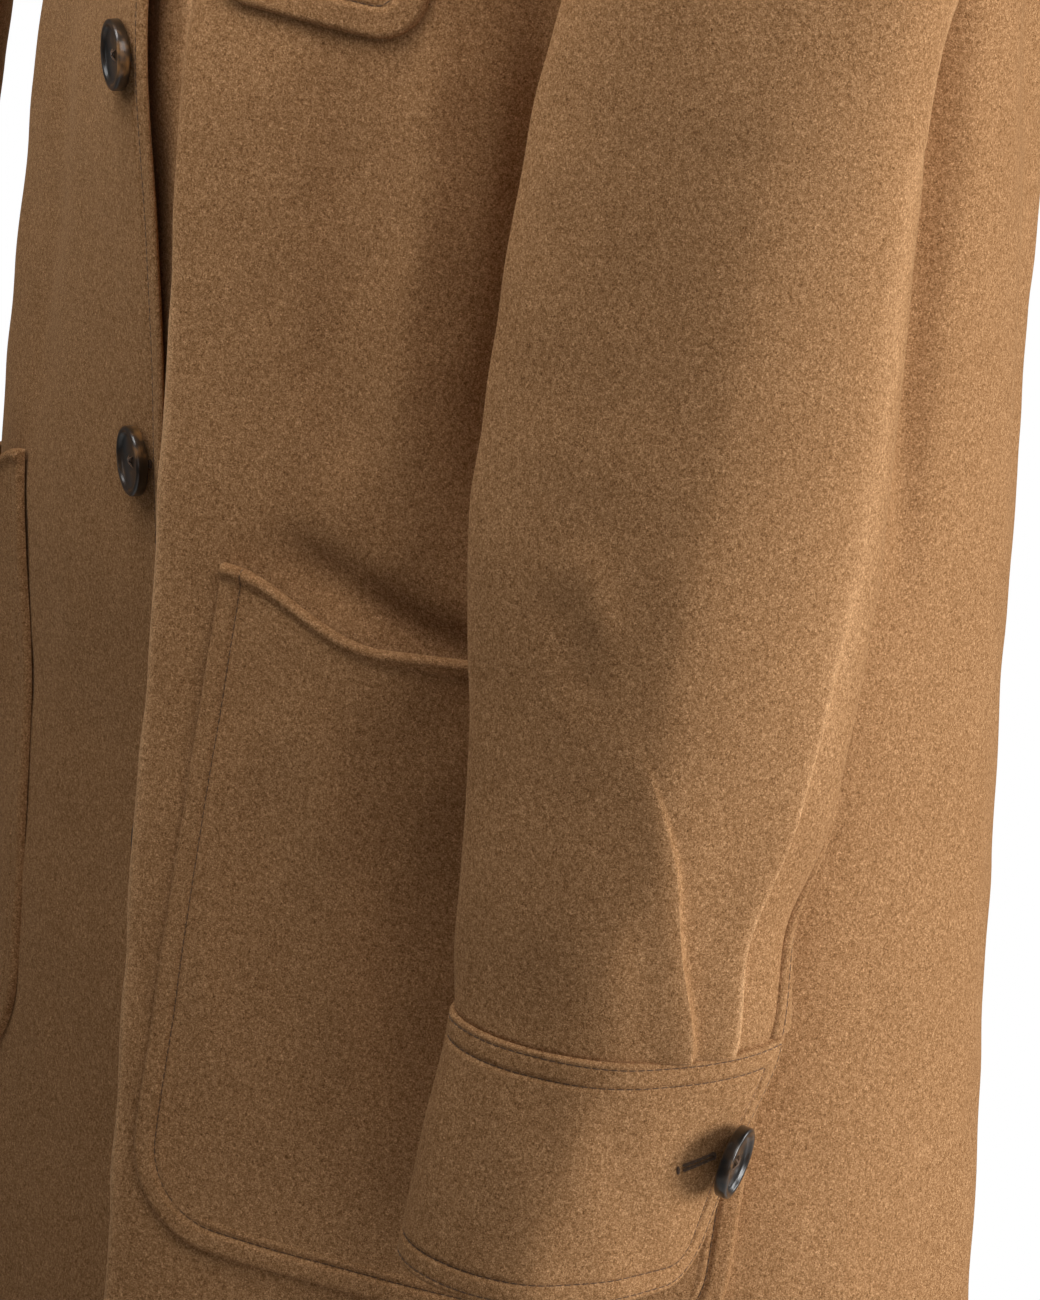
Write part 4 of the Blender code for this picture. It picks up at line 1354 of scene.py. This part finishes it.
@dataclass
class Cuff:
    """One lapped cuff with its two rows of stitches, and its round lower corner."""

    side: Side = Side.LEFT
    wall: float = 0.0032
    end: float = -80.0
    lap: float = 42.0
    lap_room: float = 0.0008
    dive: float = 296.0
    dive_span: float = 52.0
    columns: int = 210
    close: float = 14.0
    close_columns: int = 30
    radius: float = 0.017
    edge_radius: float = 0.0016
    per_degree: float = 0.00078
    edge_row: float = 0.0022
    second_row: float = 0.0088

    def grid(self) -> tuple[Array, Array, Array]:
        """Outer points, and each one's distance from the top, end and foot edges.

        Returns:
            Points, distances from the nearest of end and foot, and distances from the top.
        """
        deep = ARM.cuff_top - ARM.cuff_foot
        down = spread(deep, 0.0026, 0.0005, 0.0115)
        heights = ARM.cuff_top - down
        inset = rounded(deep - down, self.radius)[:, None]
        rest = np.linspace(self.close, 360 + self.lap, self.columns - self.close_columns + 1)
        near = np.concatenate([np.linspace(0, self.close, self.close_columns), rest[1:]])
        cut = inset / self.per_degree
        around = self.end + cut + (near / near[-1]) * (near[-1] - cut)
        under = -(self.wall + self.lap_room) * ease((around - (self.end + self.dive)) / self.dive_span)
        z = np.broadcast_to(heights[:, None], around.shape)
        points = ARM.points(around, z, self.side, grow=under + ARM.cuff_ease)
        from_foot = np.broadcast_to((deep - down)[:, None], around.shape)
        edge = corner_distance(run_length(points) + inset, from_foot, self.radius)
        return points, edge, np.broadcast_to(down[:, None], around.shape)

    def build(self, finishes: Finishes) -> None:
        """Build the cuff and its stitching.

        Args:
            finishes: The materials.
        """
        points, edge, top = self.grid()
        normals = grid_normals(points, False) * self.side.value
        drop = rounded(edge, self.edge_radius) + rounded(top, self.edge_radius)
        near = np.minimum(edge, top)
        fine = groove(near, self.edge_row, 0.0006, 0.0004) + groove(near, self.second_row, 0.0009, 0.0009)
        fine = fine + 0.0004 * soft_noise(points, 0.03, 31)
        outer = points + normals * (fine - drop)[..., None]
        inner = points - normals * (self.wall - np.minimum(drop, 0.0014))[..., None]
        node = self.side.of("cuff")
        thing = shell(f"cloth_{node}", node, outer, inner, finishes.wool, flip=self.side is Side.RIGHT)
        self.side.of("sleeve")
        rows = [level_lines(outer, normals, near, place) for place in (self.edge_row, self.second_row)]
        sew(f"stitches_{node}", rows[0] + rows[1], finishes.thread)


def level_lines(points: Array, normals: Array, distance: Array, place: float) -> list[tuple[Array, Array]]:
    """Lines on a grid along which a distance has one value.

    Args:
        points: Points, rows by columns.
        normals: Their normals.
        distance: A value for each point.
        place: The wanted value.

    Returns:
        Lines with their normals.
    """
    crossings: dict[tuple[int, int, int], Array] = {}
    rows, columns = distance.shape
    both = np.concatenate([points, normals], axis=-1)
    for axis, (di, dj) in enumerate(((0, 1), (1, 0))):
        a = distance[:rows - di, :columns - dj]
        b = distance[di:, dj:]
        hits = np.argwhere((a < place) != (b < place))
        for i, j in hits:
            t = (place - a[i, j]) / (b[i, j] - a[i, j])
            crossings[(axis, int(i), int(j))] = both[i, j] + (both[i + di, j + dj] - both[i, j]) * t
    links: dict[tuple[int, int, int], list[tuple[int, int, int]]] = {key: [] for key in crossings}
    for i in range(rows - 1):
        for j in range(columns - 1):
            cell = [key for key in ((0, i, j), (0, i + 1, j), (1, i, j), (1, i, j + 1)) if key in crossings]
            if len(cell) == 2:
                links[cell[0]].append(cell[1])
                links[cell[1]].append(cell[0])
    lines, seen = [], set()
    for start in sorted(crossings, key=lambda key: len(links[key])):
        if start in seen:
            continue
        chain, key = [], start
        while key is not None and key not in seen:
            seen.add(key)
            chain.append(crossings[key])
            key = next((other for other in links[key] if other not in seen), None)
        if len(chain) > SHORTEST_LINE:
            line = np.array(chain)
            lines.append((line[:, :3], unit(line[:, 3:])))
    return lines


@dataclass
class Placket:
    """The strip that binds the sleeve opening above the cuff."""

    side: Side = Side.LEFT
    start: float = -68.0
    span: float = 22.0
    rise: float = 0.090
    drift: float = 34.0
    wall: float = 0.0016
    sunk: float = 0.0006
    proud: float = 0.0012
    edge_row: float = 0.0030

    def build(self, finishes: Finishes) -> None:
        """Build the strip and its stitches.

        Args:
            finishes: The materials.
        """
        heights = np.linspace(ARM.cuff_top + 0.0012, ARM.cuff_top + self.rise, 70)
        turn, z = np.meshgrid(self.start - np.linspace(0.0, self.span, 30), heights)
        turn = turn - self.drift * (z - ARM.cuff_top) / self.rise
        lift = ARM.pleat_lift(turn, z - ARM.cuff_top)
        base = ARM.points(turn, z, self.side, grow=lift - self.sunk)
        normals = grid_normals(base, False) * self.side.value
        run = run_length(base[30])
        near = np.minimum(np.minimum(run, run[-1] - run)[None], (heights[-1] - heights)[:, None])
        raised = self.wall + self.proud - rounded(near, 0.0022) + groove(near, self.edge_row, 0.0007, 0.0004)
        outer = base + normals * raised[..., None]
        name = self.side.of("placket")
        thing = shell(f"cloth_{name}", f"sleeve_{name}", outer, base, finishes.wool,
                      flip=self.side is Side.RIGHT)
        self.side.of("sleeve")
        sew(f"stitches_{name}", level_lines(outer, normals, near, self.edge_row), finishes.thread)


@dataclass
class Pocket:
    """A patch pocket with a turned mouth, a row of stitches and round lower corners."""

    name: str
    side: Side
    front_x: float
    width: float
    gape: float
    top: float = -0.5510
    height: float = 0.234
    tilt: float = 0.0
    sag: float = 0.0205
    fall: float = 0.028
    radius: float = 0.034
    wall: float = 0.0020
    seam_thick: float = 0.0010
    mouth_thick: float = 0.0020
    per_degree: float = 0.0036
    sag_share: float = 0.30
    stitch_row: float = 0.0085
    row_width: float = 0.0011
    row_depth: float = 0.0012
    edge_radius: float = 0.0024
    mouth_radius: float = 0.0026
    tack_in: float = 0.006
    tack_drop: float = 0.0020
    tack_long: float = 0.0075
    tack_lift: float = 0.0026
    tack_stitch: StitchRow = StitchRow(length=0.0020, gap=-0.0003, radius=0.0004, arch=0.0001)
    creases: tuple[Crease, ...] = ()

    def base(self, across: Array, down: Array) -> tuple[Array, Array, Array, Array, Array]:
        """Cloth under the pocket at flat places.

        Args:
            across: Lengths from the front edge.
            down: Shares of the height below the mouth.

        Returns:
            Points, outward normals, lengths across, drops below the mouth and the folds' lift.
        """
        drop = down * self.height
        inset = rounded(self.height - drop, self.radius)[:, None]
        length = inset + (self.width - 2 * inset) * (across / self.width)
        lean = length / self.width
        mouth = self.top - self.tilt * lean - self.sag * ease(lean / self.sag_share)
        z = mouth + (self.top - self.height - self.fall * lean - mouth) * down[:, None]
        levels = np.linspace(z.min() - 0.001, z.max() + 0.001, 60)
        lengths = np.linspace(0.0, self.width, 240)
        table = [np.interp(lengths, *BODY.level_run(self.front_x, level, self.side)) for level in levels]
        row = (z - levels[0]) / (levels[1] - levels[0])
        angle = between(np.array(table), row, length / (lengths[1] - lengths[0]))
        lift = crease_lift(self.creases, angle, z, self.per_degree)
        drop = np.broadcast_to(drop[:, None], length.shape)
        return BODY.points(angle, z), BODY.normals(angle, z), length, drop, lift

    def build(self, finishes: Finishes) -> None:
        """Build the pocket and its stitching.

        Args:
            finishes: The materials.
        """
        across = spread(self.width, 0.0030, 0.0006, 0.012)
        down = spread(self.height, 0.0034, 0.0006, 0.012) / self.height
        points, normals, length, drop, lift = self.base(across, down)
        aside = np.minimum(length, self.width - length)
        near = corner_distance(aside, self.height - drop, self.radius)
        lean = length / self.width
        open_out = self.gape * ease(lean / 0.28) * ease((1 - lean) / 0.45)
        open_out = open_out * (1 - ease(drop / (0.45 * self.height)))
        floor = BODY.seam + 0.0003 + open_out + np.maximum(lift, -0.0002) * ease(near / 0.02)
        thick = self.wall + self.seam_thick * (1 - ease((near - self.stitch_row) / 0.004))
        thick = thick + self.mouth_thick * (1 - ease((drop - 0.0025) / 0.0035))
        thick = thick - rounded(near, self.edge_radius) - rounded(drop, self.mouth_radius)
        thick = thick + groove(near, self.stitch_row, self.row_width, self.row_depth)
        thick = np.maximum(thick + 0.0004 * soft_noise(points, 0.04, 41), 0.0004)
        inner = points + normals * floor[..., None]
        outer = points + normals * (floor + thick)[..., None]
        thing = shell(f"cloth_{self.name}", self.name, outer, inner, finishes.wool,
                      flip=self.side is Side.LEFT)
        self.side.of("front")
        sew(f"stitches_{self.name}", level_lines(outer, normals, near, self.stitch_row), finishes.thread)

    def tack(self, finishes: Finishes) -> None:
        """Sew a short tack at both corners of the mouth.

        Args:
            finishes: The materials.
        """
        rows = []
        for share, fall in ((self.tack_in, 0.0), (1 - self.tack_in, self.sag)):
            z = self.top - self.tack_drop - fall
            angle = float(np.interp(share * self.width, *BODY.level_run(self.front_x, z, self.side)))
            heights = z - np.linspace(0.0, self.tack_long, 8)
            around = np.full_like(heights, angle)
            normals = BODY.normals(around, heights)
            rows.append((BODY.points(around, heights) + normals * self.tack_lift, normals))
        sew(self.side.of("stitches_tack"), rows, finishes.thread, self.tack_stitch)


@dataclass
class Collar:
    """A plain turn-down collar."""

    wall: float = 0.0024
    edge_row: float = 0.008
    off: float = 0.0055
    neck: tuple[float, float] = (0.072, 0.080)
    fewest_points: int = 60
    shape: Table = Table(
        ("turn", "stand", "down"),
        ((0.0, 0.026, 0.050), (25.0, 0.029, 0.044), (55.0, 0.033, 0.030), (90.0, 0.036, 0.022),
         (135.0, 0.040, 0.028), (180.0, 0.042, 0.032)))

    def build(self, finishes: Finishes) -> None:
        """Build the collar and its stitching.

        Args:
            finishes: The materials.
        """
        stations = np.linspace(0.0, 180.0, 9)
        edge = BODY.points(*BODY.neckline(stations))
        edge = edge + np.array([0.0, 0.0, 2 * BODY.seam - BODY.neck_ease])
        turns = np.concatenate([np.linspace(6.0, 90.0, 60), np.linspace(90.0, 180.0, 50)[1:]])
        half = []
        for turn in turns:
            angle, z = (float(c) for c in BODY.neckline(turn))
            base = np.array([np.interp(turn, stations, edge[:, k]) for k in range(3)])
            aside, behind = self.neck
            outward = unit(np.array([base[0] / aside ** 2, (base[1] + 0.006) / behind ** 2, 0.0]))
            stand = float(self.shape.at("stand", np.array(turn)))
            down = float(self.shape.at("down", np.array(turn)))
            fold = ((-0.0010, 0.0), (-0.0030, 0.40 * stand), (-0.0034, 0.80 * stand),
                    (-0.0010, stand + 0.0016), (0.0032, stand + 0.0028), (0.0064, stand - 0.0006))
            row = [base + outward * out + np.array([0.0, 0.0, up]) for out, up in fold]
            foot = BODY.points(angle, z - down) + BODY.normals(angle, z - down) * self.off
            row += [row[-1] + (foot - row[-1]) * 0.5 + outward * 0.002, foot]
            half.append(self.smooth(np.array(row)))
        half_grid = np.array(half)
        other = half_grid[:-1][::-1] * np.array([-1.0, 1.0, 1.0])
        grid = np.concatenate([half_grid, other]).transpose(1, 0, 2)
        normals = -grid_normals(grid, False)
        ends = np.minimum(apart(grid, grid[:, :1]), apart(grid, grid[:, -1:]))
        near = np.minimum(ends, apart(grid, grid[-1:]))
        drop = rounded(near, 0.0012)
        outer = grid + normals * (groove(near, self.edge_row, 0.0012, 0.0005) - drop)[..., None]
        inner = grid - normals * (self.wall - np.minimum(drop, 0.0011))[..., None]
        thing = shell("cloth_collar", "collar", outer, inner, finishes.wool, flip=True)
        lines = level_lines(outer, normals, near, self.edge_row)
        rows = [line for line in lines if len(line[0]) > self.fewest_points]
        sew("stitches_collar", rows, finishes.thread)

    @staticmethod
    def smooth(row: Array) -> Array:
        """Round a section's corners by sampling a smooth curve through its points.

        Args:
            row: Points of the section.

        Returns:
            Points of the curve.
        """
        run = run_length(row)
        at = np.unique(np.concatenate([np.linspace(0, run[5], 26), np.linspace(run[5], run[-1], 26)]))
        columns = [Table(("run", "value"), tuple(zip(run, row[:, k]))).at("value", at) for k in range(3)]
        return np.stack(columns, -1)


@dataclass
class Button:
    """A turned horn button with a raised rim and a dished face, sewn on with crossed thread."""

    node: str
    radius: float = 0.0125
    thick: float = 0.0045
    segments: int = 64
    hole_share: float = 0.19
    profile: tuple[tuple[float, float], ...] = (
        (0.02, 0.0), (0.88, 0.0), (0.95, 0.03), (0.985, 0.09), (1.0, 0.18), (1.0, 0.80), (0.99, 0.90),
        (0.965, 0.97), (0.93, 1.0), (0.87, 1.0), (0.84, 0.98), (0.82, 0.92), (0.79, 0.80), (0.75, 0.71),
        (0.68, 0.66), (0.50, 0.64), (0.36, 0.63), (0.02, 0.62))

    def frame(self) -> tuple[Array, Array]:
        """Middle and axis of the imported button, found from its mesh.

        Returns:
            The middle point and a unit vector along the axis.
        """
        source = bpy.data.objects[self.node]
        points = np.array([tuple(source.matrix_world @ corner.co) for corner in source.data.vertices])
        centre = 0.5 * (points.max(0) + points.min(0))
        _, _, axes = np.linalg.svd(points - points.mean(0))
        return centre, axes[2]

    def build(self, finishes: Finishes, outward: Array) -> None:
        """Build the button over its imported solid.

        Args:
            finishes: The materials.
            outward: Rough way that its face looks.
        """
        centre, normal = self.frame()
        normal = normal * np.sign(normal @ outward)
        across = unit(np.cross(np.array([0.0, 0.0, 1.0]), normal))
        level = np.cross(normal, across)
        turns = np.linspace(0, 2 * math.pi, self.segments, endpoint=False)[:, None]
        ring = (across * np.cos(turns) + level * np.sin(turns)) * self.radius
        lift = normal * self.thick
        grid = np.array([centre + ring * share + lift * (height - 0.5) for share, height in self.profile])
        faces = quads(close_round(np.arange(grid[..., 0].size).reshape(grid.shape[:2])))
        add_mesh(f"horn_{self.node}", grid.reshape(-1, 3), faces, finishes.horn, self.node)
        self.sew_on(centre + normal * 0.12 * self.thick, across, level, normal, finishes)

    def sew_on(self, centre: Array, across: Array, level: Array, normal: Array,
               finishes: Finishes) -> None:
        """Cross the thread over the dished face.

        Args:
            centre: Middle of the dished face.
            across: Level direction.
            level: Upward direction.
            normal: Way the face looks.
            finishes: The materials.
        """
        hole = self.hole_share * self.radius
        rows = []
        for rise in (hole, -hole):
            for shift in (-0.0003, 0.0003):
                a = centre + across * (hole + shift) + level * rise
                b = centre - across * (hole - shift) - level * rise
                line = a + (b - a) * np.linspace(0, 1, 12)[:, None]
                rows.append((line + normal * 0.0002, np.broadcast_to(normal, line.shape)))
        stitch = StitchRow(length=2.6 * hole, gap=0.001, radius=0.0003, arch=0.0006)
        sew(f"thread_{self.node}", rows, finishes.thread, stitch)


@dataclass
class Buttonhole:
    """A worked buttonhole: two thread lips and a tack across each end."""

    name: str
    half: float = 0.0009
    bar: float = 1.9
    stitch: StitchRow = StitchRow(length=0.0030, gap=-0.0004, radius=0.0006, arch=0.0001)

    def build(self, line: Array, normals: Array, finishes: Finishes) -> None:
        """Work the buttonhole along a line on the cloth.

        Args:
            line: Points along the slit.
            normals: Outward normals there.
            finishes: The materials.
        """
        along = unit(np.gradient(line, axis=0))
        across = unit(np.cross(along, normals))
        share = np.linspace(-1, 1, 9)[:, None]
        rows = [(line + across * self.half * way, normals) for way in (-1, 1)]
        for end in (0, -1):
            bar = line[end] + across[end] * (self.bar * self.half * share)
            rows.append((bar, np.broadcast_to(normals[end], bar.shape)))
        sew(f"thread_{self.name}", rows, finishes.binding, self.stitch)


def direction(turn: float, rise: float) -> Vector:
    """Unit vector by degrees round from the front and above level."""
    a, b = math.radians(turn), math.radians(rise)
    return Vector((math.sin(a) * math.cos(b), -math.cos(a) * math.cos(b), math.sin(b)))


@dataclass(frozen=True)
class Lamp:
    """A square soft light, placed by degrees right of the camera and above level.

    Above is how far over the middle of the view it aims.
    """

    name: str
    heading: float
    rise: float
    distance: float
    size: float
    power: float
    above: float = 0.0


@dataclass
class Studio:
    """Pale floor, soft light and the camera of the photograph."""

    azimuth: float = 52.0
    rise: float = 13.0
    roll: float = 4.2
    distance: float = 2.2
    focal_pixels: float = 6600.0
    frame_height: float = 1300.0
    target: tuple[float, float, float] = (0.184, -0.122, -0.560)
    sensor: float = 36.0
    glow: float = 0.005
    shine: float = 0.08
    floor_half: float = 1.2
    floor_z: float = -1.45
    floor_tones: tuple[Colour, Colour] = ((0.80, 0.79, 0.78, 1.0), (0.84, 0.83, 0.82, 1.0))
    lamps: tuple[Lamp, ...] = (
        Lamp("side", 72.0, 5.0, 3.0, 1.5, 74.0), Lamp("behind_side", 112.0, 8.0, 3.0, 1.2, 26.0),
        Lamp("upper_right", 30.0, 40.0, 3.0, 1.5, 23.0), Lamp("front_right", 30.0, 5.0, 3.0, 1.5, 2.0),
        Lamp("front", 0.0, 5.0, 3.0, 1.5, 5.0), Lamp("left", -90.0, 5.0, 3.0, 1.5, 3.3),
        Lamp("near_left", -90.0, 20.0, 0.7, 0.3, 1.1, 0.30),
        Lamp("high_left", -80.0, 45.0, 0.5, 0.3, 2.4, 0.35))

    def build(self) -> None:
        """Set the camera, the lights, the world and the floor."""
        self.camera()
        for lamp in self.lamps:
            self.light(lamp)
        self.world()
        self.floor()

    def camera(self) -> None:
        """Add the camera, rolled about its view."""
        roll = math.radians(self.roll)
        back = direction(self.azimuth, self.rise)
        level = direction(self.azimuth + 90.0, 0.0)
        upright = back.cross(level)
        right = level * math.cos(roll) + upright * math.sin(roll)
        up = upright * math.cos(roll) - level * math.sin(roll)
        data = bpy.data.cameras.new("camera")
        data.sensor_width = self.sensor
        data.lens = self.sensor * self.focal_pixels / self.frame_height
        camera = put("camera", data)
        turn = Matrix((right, up, back)).transposed().to_4x4()
        camera.matrix_world = Matrix.Translation(Vector(self.target) + back * self.distance) @ turn
        bpy.context.scene.camera = camera
        bpy.context.scene.view_settings.view_transform = "Standard"

    def light(self, lamp: Lamp) -> None:
        """Add a square soft light aimed at the coat.

        Args:
            lamp: Where it is, its size and its power.
        """
        data = bpy.data.lights.new(lamp.name, "AREA")
        data.shape = "SQUARE"
        data.size = lamp.size
        data.energy = lamp.power
        way = direction(self.azimuth + lamp.heading, lamp.rise)
        place = Vector(self.target) + Vector((0.0, 0.0, lamp.above)) + way * lamp.distance
        turn = way.to_track_quat("Z", "Y").to_matrix().to_4x4()
        put(lamp.name, data).matrix_world = Matrix.Translation(place) @ turn

    def world(self) -> None:
        """White surroundings, dimmer as light than as background."""
        world = bpy.data.worlds.new("studio")
        world.use_nodes = True
        bpy.context.scene.world = world
        world.node_tree.nodes.clear()
        graph = Graph(world.node_tree)
        seen = graph.node("ShaderNodeBackground", None, {"Color": (1.0, 1.0, 1.0, 1.0), "Strength": 1.0})
        lit = graph.node("ShaderNodeBackground", None, {
            "Color": (1.0, 0.98, 0.96, 1.0), "Strength": self.glow})
        ray = graph.node("ShaderNodeLightPath", result="Is Camera Ray")
        glossy = graph.node("ShaderNodeLightPath", result="Is Glossy Ray")
        share = 1 - (1 - ray) * (1 - glossy * self.shine)
        both = graph.node("ShaderNodeMixShader", None, {0: share, 1: lit, 2: seen})
        graph.node("ShaderNodeOutputWorld", None, {"Surface": both}, None)

    def floor(self) -> None:
        """A plain pale floor well below the hem."""
        material, graph, shader, where = new_material("pale_floor")
        graph.feed(shader, {
            "Base Color": graph.mix(graph.noise(where, 3.0), *self.floor_tones), "Roughness": 0.9})
        mesh = bpy.data.meshes.new("floor")
        corners = [(-1, -1), (1, -1), (1, 1), (-1, 1)]
        points = [(x * self.floor_half, y * self.floor_half, self.floor_z) for x, y in corners]
        mesh.from_pydata(points, [], [(0, 1, 2, 3)])
        mesh.materials.append(material)
        put("floor", mesh)


def button_ways() -> dict[str, Array]:
    """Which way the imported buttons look.

    Returns:
        A rough outward direction for each node.
    """
    ways = {f"button_front_{k}": np.array([0.0, -1.0, 0.0]) for k in range(1, 6)}
    ways["button_cuff_left"] = np.array([0.9, 0.4, 0.0])
    ways["button_cuff_right"] = np.array([-0.9, 0.4, 0.0])
    return ways


def work_buttonholes(finishes: Finishes) -> None:
    """Work the five front buttonholes and one in each cuff.

    Args:
        finishes: The materials.
    """
    front = Front(side=Side.RIGHT)
    for number, z in enumerate(FRONT_BUTTON_HEIGHTS, 1):
        xs = np.linspace(-0.0168, 0.0075, 12)
        angles = np.array([float(BODY.front_angle(x, z)[0]) for x in xs])
        points, normals = front.form(np.stack([angles, np.full_like(angles, z)], -1))
        Buttonhole(f"buttonhole_front_{number}").build(points + normals * 0.0003, normals, finishes)
    turns = np.linspace(-60.0, -45.0, 12)
    z = np.linspace(-0.7122, -0.7142, 12)
    for side in Side:
        points = ARM.points(turns, z, side, grow=ARM.cuff_ease)
        normals = unit(ARM.points(turns, z, side, grow=ARM.cuff_ease + 0.002) - points)
        Buttonhole(side.of("buttonhole_cuff")).build(points + normals * 0.0002, normals, finishes)


def main() -> None:
    """Build every piece of the coat in order."""
    logging.basicConfig(level=logging.INFO, format="%(message)s")
    binding = Thread("brown_binding", (0.050, 0.024, 0.010, 1.0), (0.120, 0.062, 0.028, 1.0))
    finishes = Finishes(Wool().material(), Horn().material(), Thread().material(), binding.material())
    Studio().build()
    Front(side=Side.LEFT, creases=(
        Crease((24.0, -0.350), (28.0, -0.545), 0.012, -0.0026, 0.003),
        Crease((35.5, -0.340), (35.8, -0.540), 0.010, 0.0036, -0.002),
        Crease((45.5, -0.330), (42.8, -0.545), 0.012, -0.0075, 0.003),
        Crease((22.0, -0.538), (47.0, -0.578), 0.0085, -0.0062, -0.004),
        Crease((66.0, -0.300), (58.0, -0.620), 0.016, -0.0040, 0.006),
        Crease((38.0, -0.800), (41.0, -1.040), 0.018, 0.0040, 0.004),
        Crease((50.0, -0.790), (54.0, -1.040), 0.016, -0.0040))).build(finishes)
    Front(side=Side.RIGHT, columns=100, fine=0.004, creases=(
        Crease((-28.0, -0.340), (-31.0, -0.560), 0.013, -0.0028, -0.003),
        Crease((-40.0, -0.320), (-44.0, -0.540), 0.014, 0.0030, 0.004),
        Crease((-66.0, -0.300), (-58.0, -0.620), 0.016, -0.0040, -0.006),
        Crease((-36.0, -0.800), (-40.0, -1.040), 0.018, 0.0040, 0.004))).build(finishes)
    Back(creases=(
        Crease((95.5, -0.240), (91.5, -0.560), 0.013, -0.0115, 0.004),
        Crease((112.0, -0.290), (128.0, -0.560), 0.016, -0.0045, 0.008),
        Crease((-112.0, -0.300), (-126.0, -0.540), 0.016, -0.0045, -0.008),
        Crease((136.0, -0.200), (142.0, -0.480), 0.020, 0.0035, -0.006),
        Crease((-134.0, -0.210), (-141.0, -0.500), 0.020, 0.0035, 0.006),
        Crease((164.0, -0.560), (160.0, -1.030), 0.022, 0.0050, 0.006),
        Crease((-166.0, -0.600), (-161.0, -1.030), 0.022, 0.0050, -0.006))).build(finishes)
    Sleeve(side=Side.LEFT, creases=(
        Crease((39.0, -0.508), (25.0, -0.540), 0.0065, 0.0018),
        Crease((46.0, -0.522), (28.0, -0.566), 0.0075, -0.0016)) + ELBOW_CREASES).build(finishes)
    Sleeve(side=Side.RIGHT, columns=90, pleat_step=0.7, fine=0.005, creases=(
        Crease((44.0, -0.500), (20.0, -0.550), 0.008, 0.0022),
        Crease((50.0, -0.520), (24.0, -0.580), 0.009, -0.0020)) + ELBOW_CREASES).build(finishes)
    for side in Side:
        Cuff(side=side).build(finishes)
        Placket(side=side).build(finishes)
    lower = (
        Pocket("pocket_lower_left", Side.LEFT, front_x=0.072, width=0.214, gape=0.009, creases=(
            Crease((28.5, -0.590), (36.5, -0.740), 0.011, 0.0036, 0.003),
            Crease((19.0, -0.600), (22.0, -0.740), 0.009, 0.0024, -0.002))),
        Pocket("pocket_lower_right", Side.RIGHT, front_x=-0.110, width=0.186, gape=0.006, creases=(
            Crease((-38.0, -0.600), (-46.0, -0.740), 0.012, 0.0034, 0.003),)))
    chest = Pocket("pocket_chest_left", Side.LEFT, front_x=0.038, width=0.086, gape=0.0, top=-0.2400,
                   height=0.119, tilt=0.011, sag=0.0, fall=0.011, radius=0.020, stitch_row=0.0110)
    for pocket in (*lower, chest):
        pocket.build(finishes)
    Collar().build(finishes)
    for node, way in button_ways().items():
        Button(node).build(finishes, way)
    work_buttonholes(finishes)
    for pocket in lower:
        pocket.tack(finishes)
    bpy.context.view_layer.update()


if __name__ == "__main__":
    main()
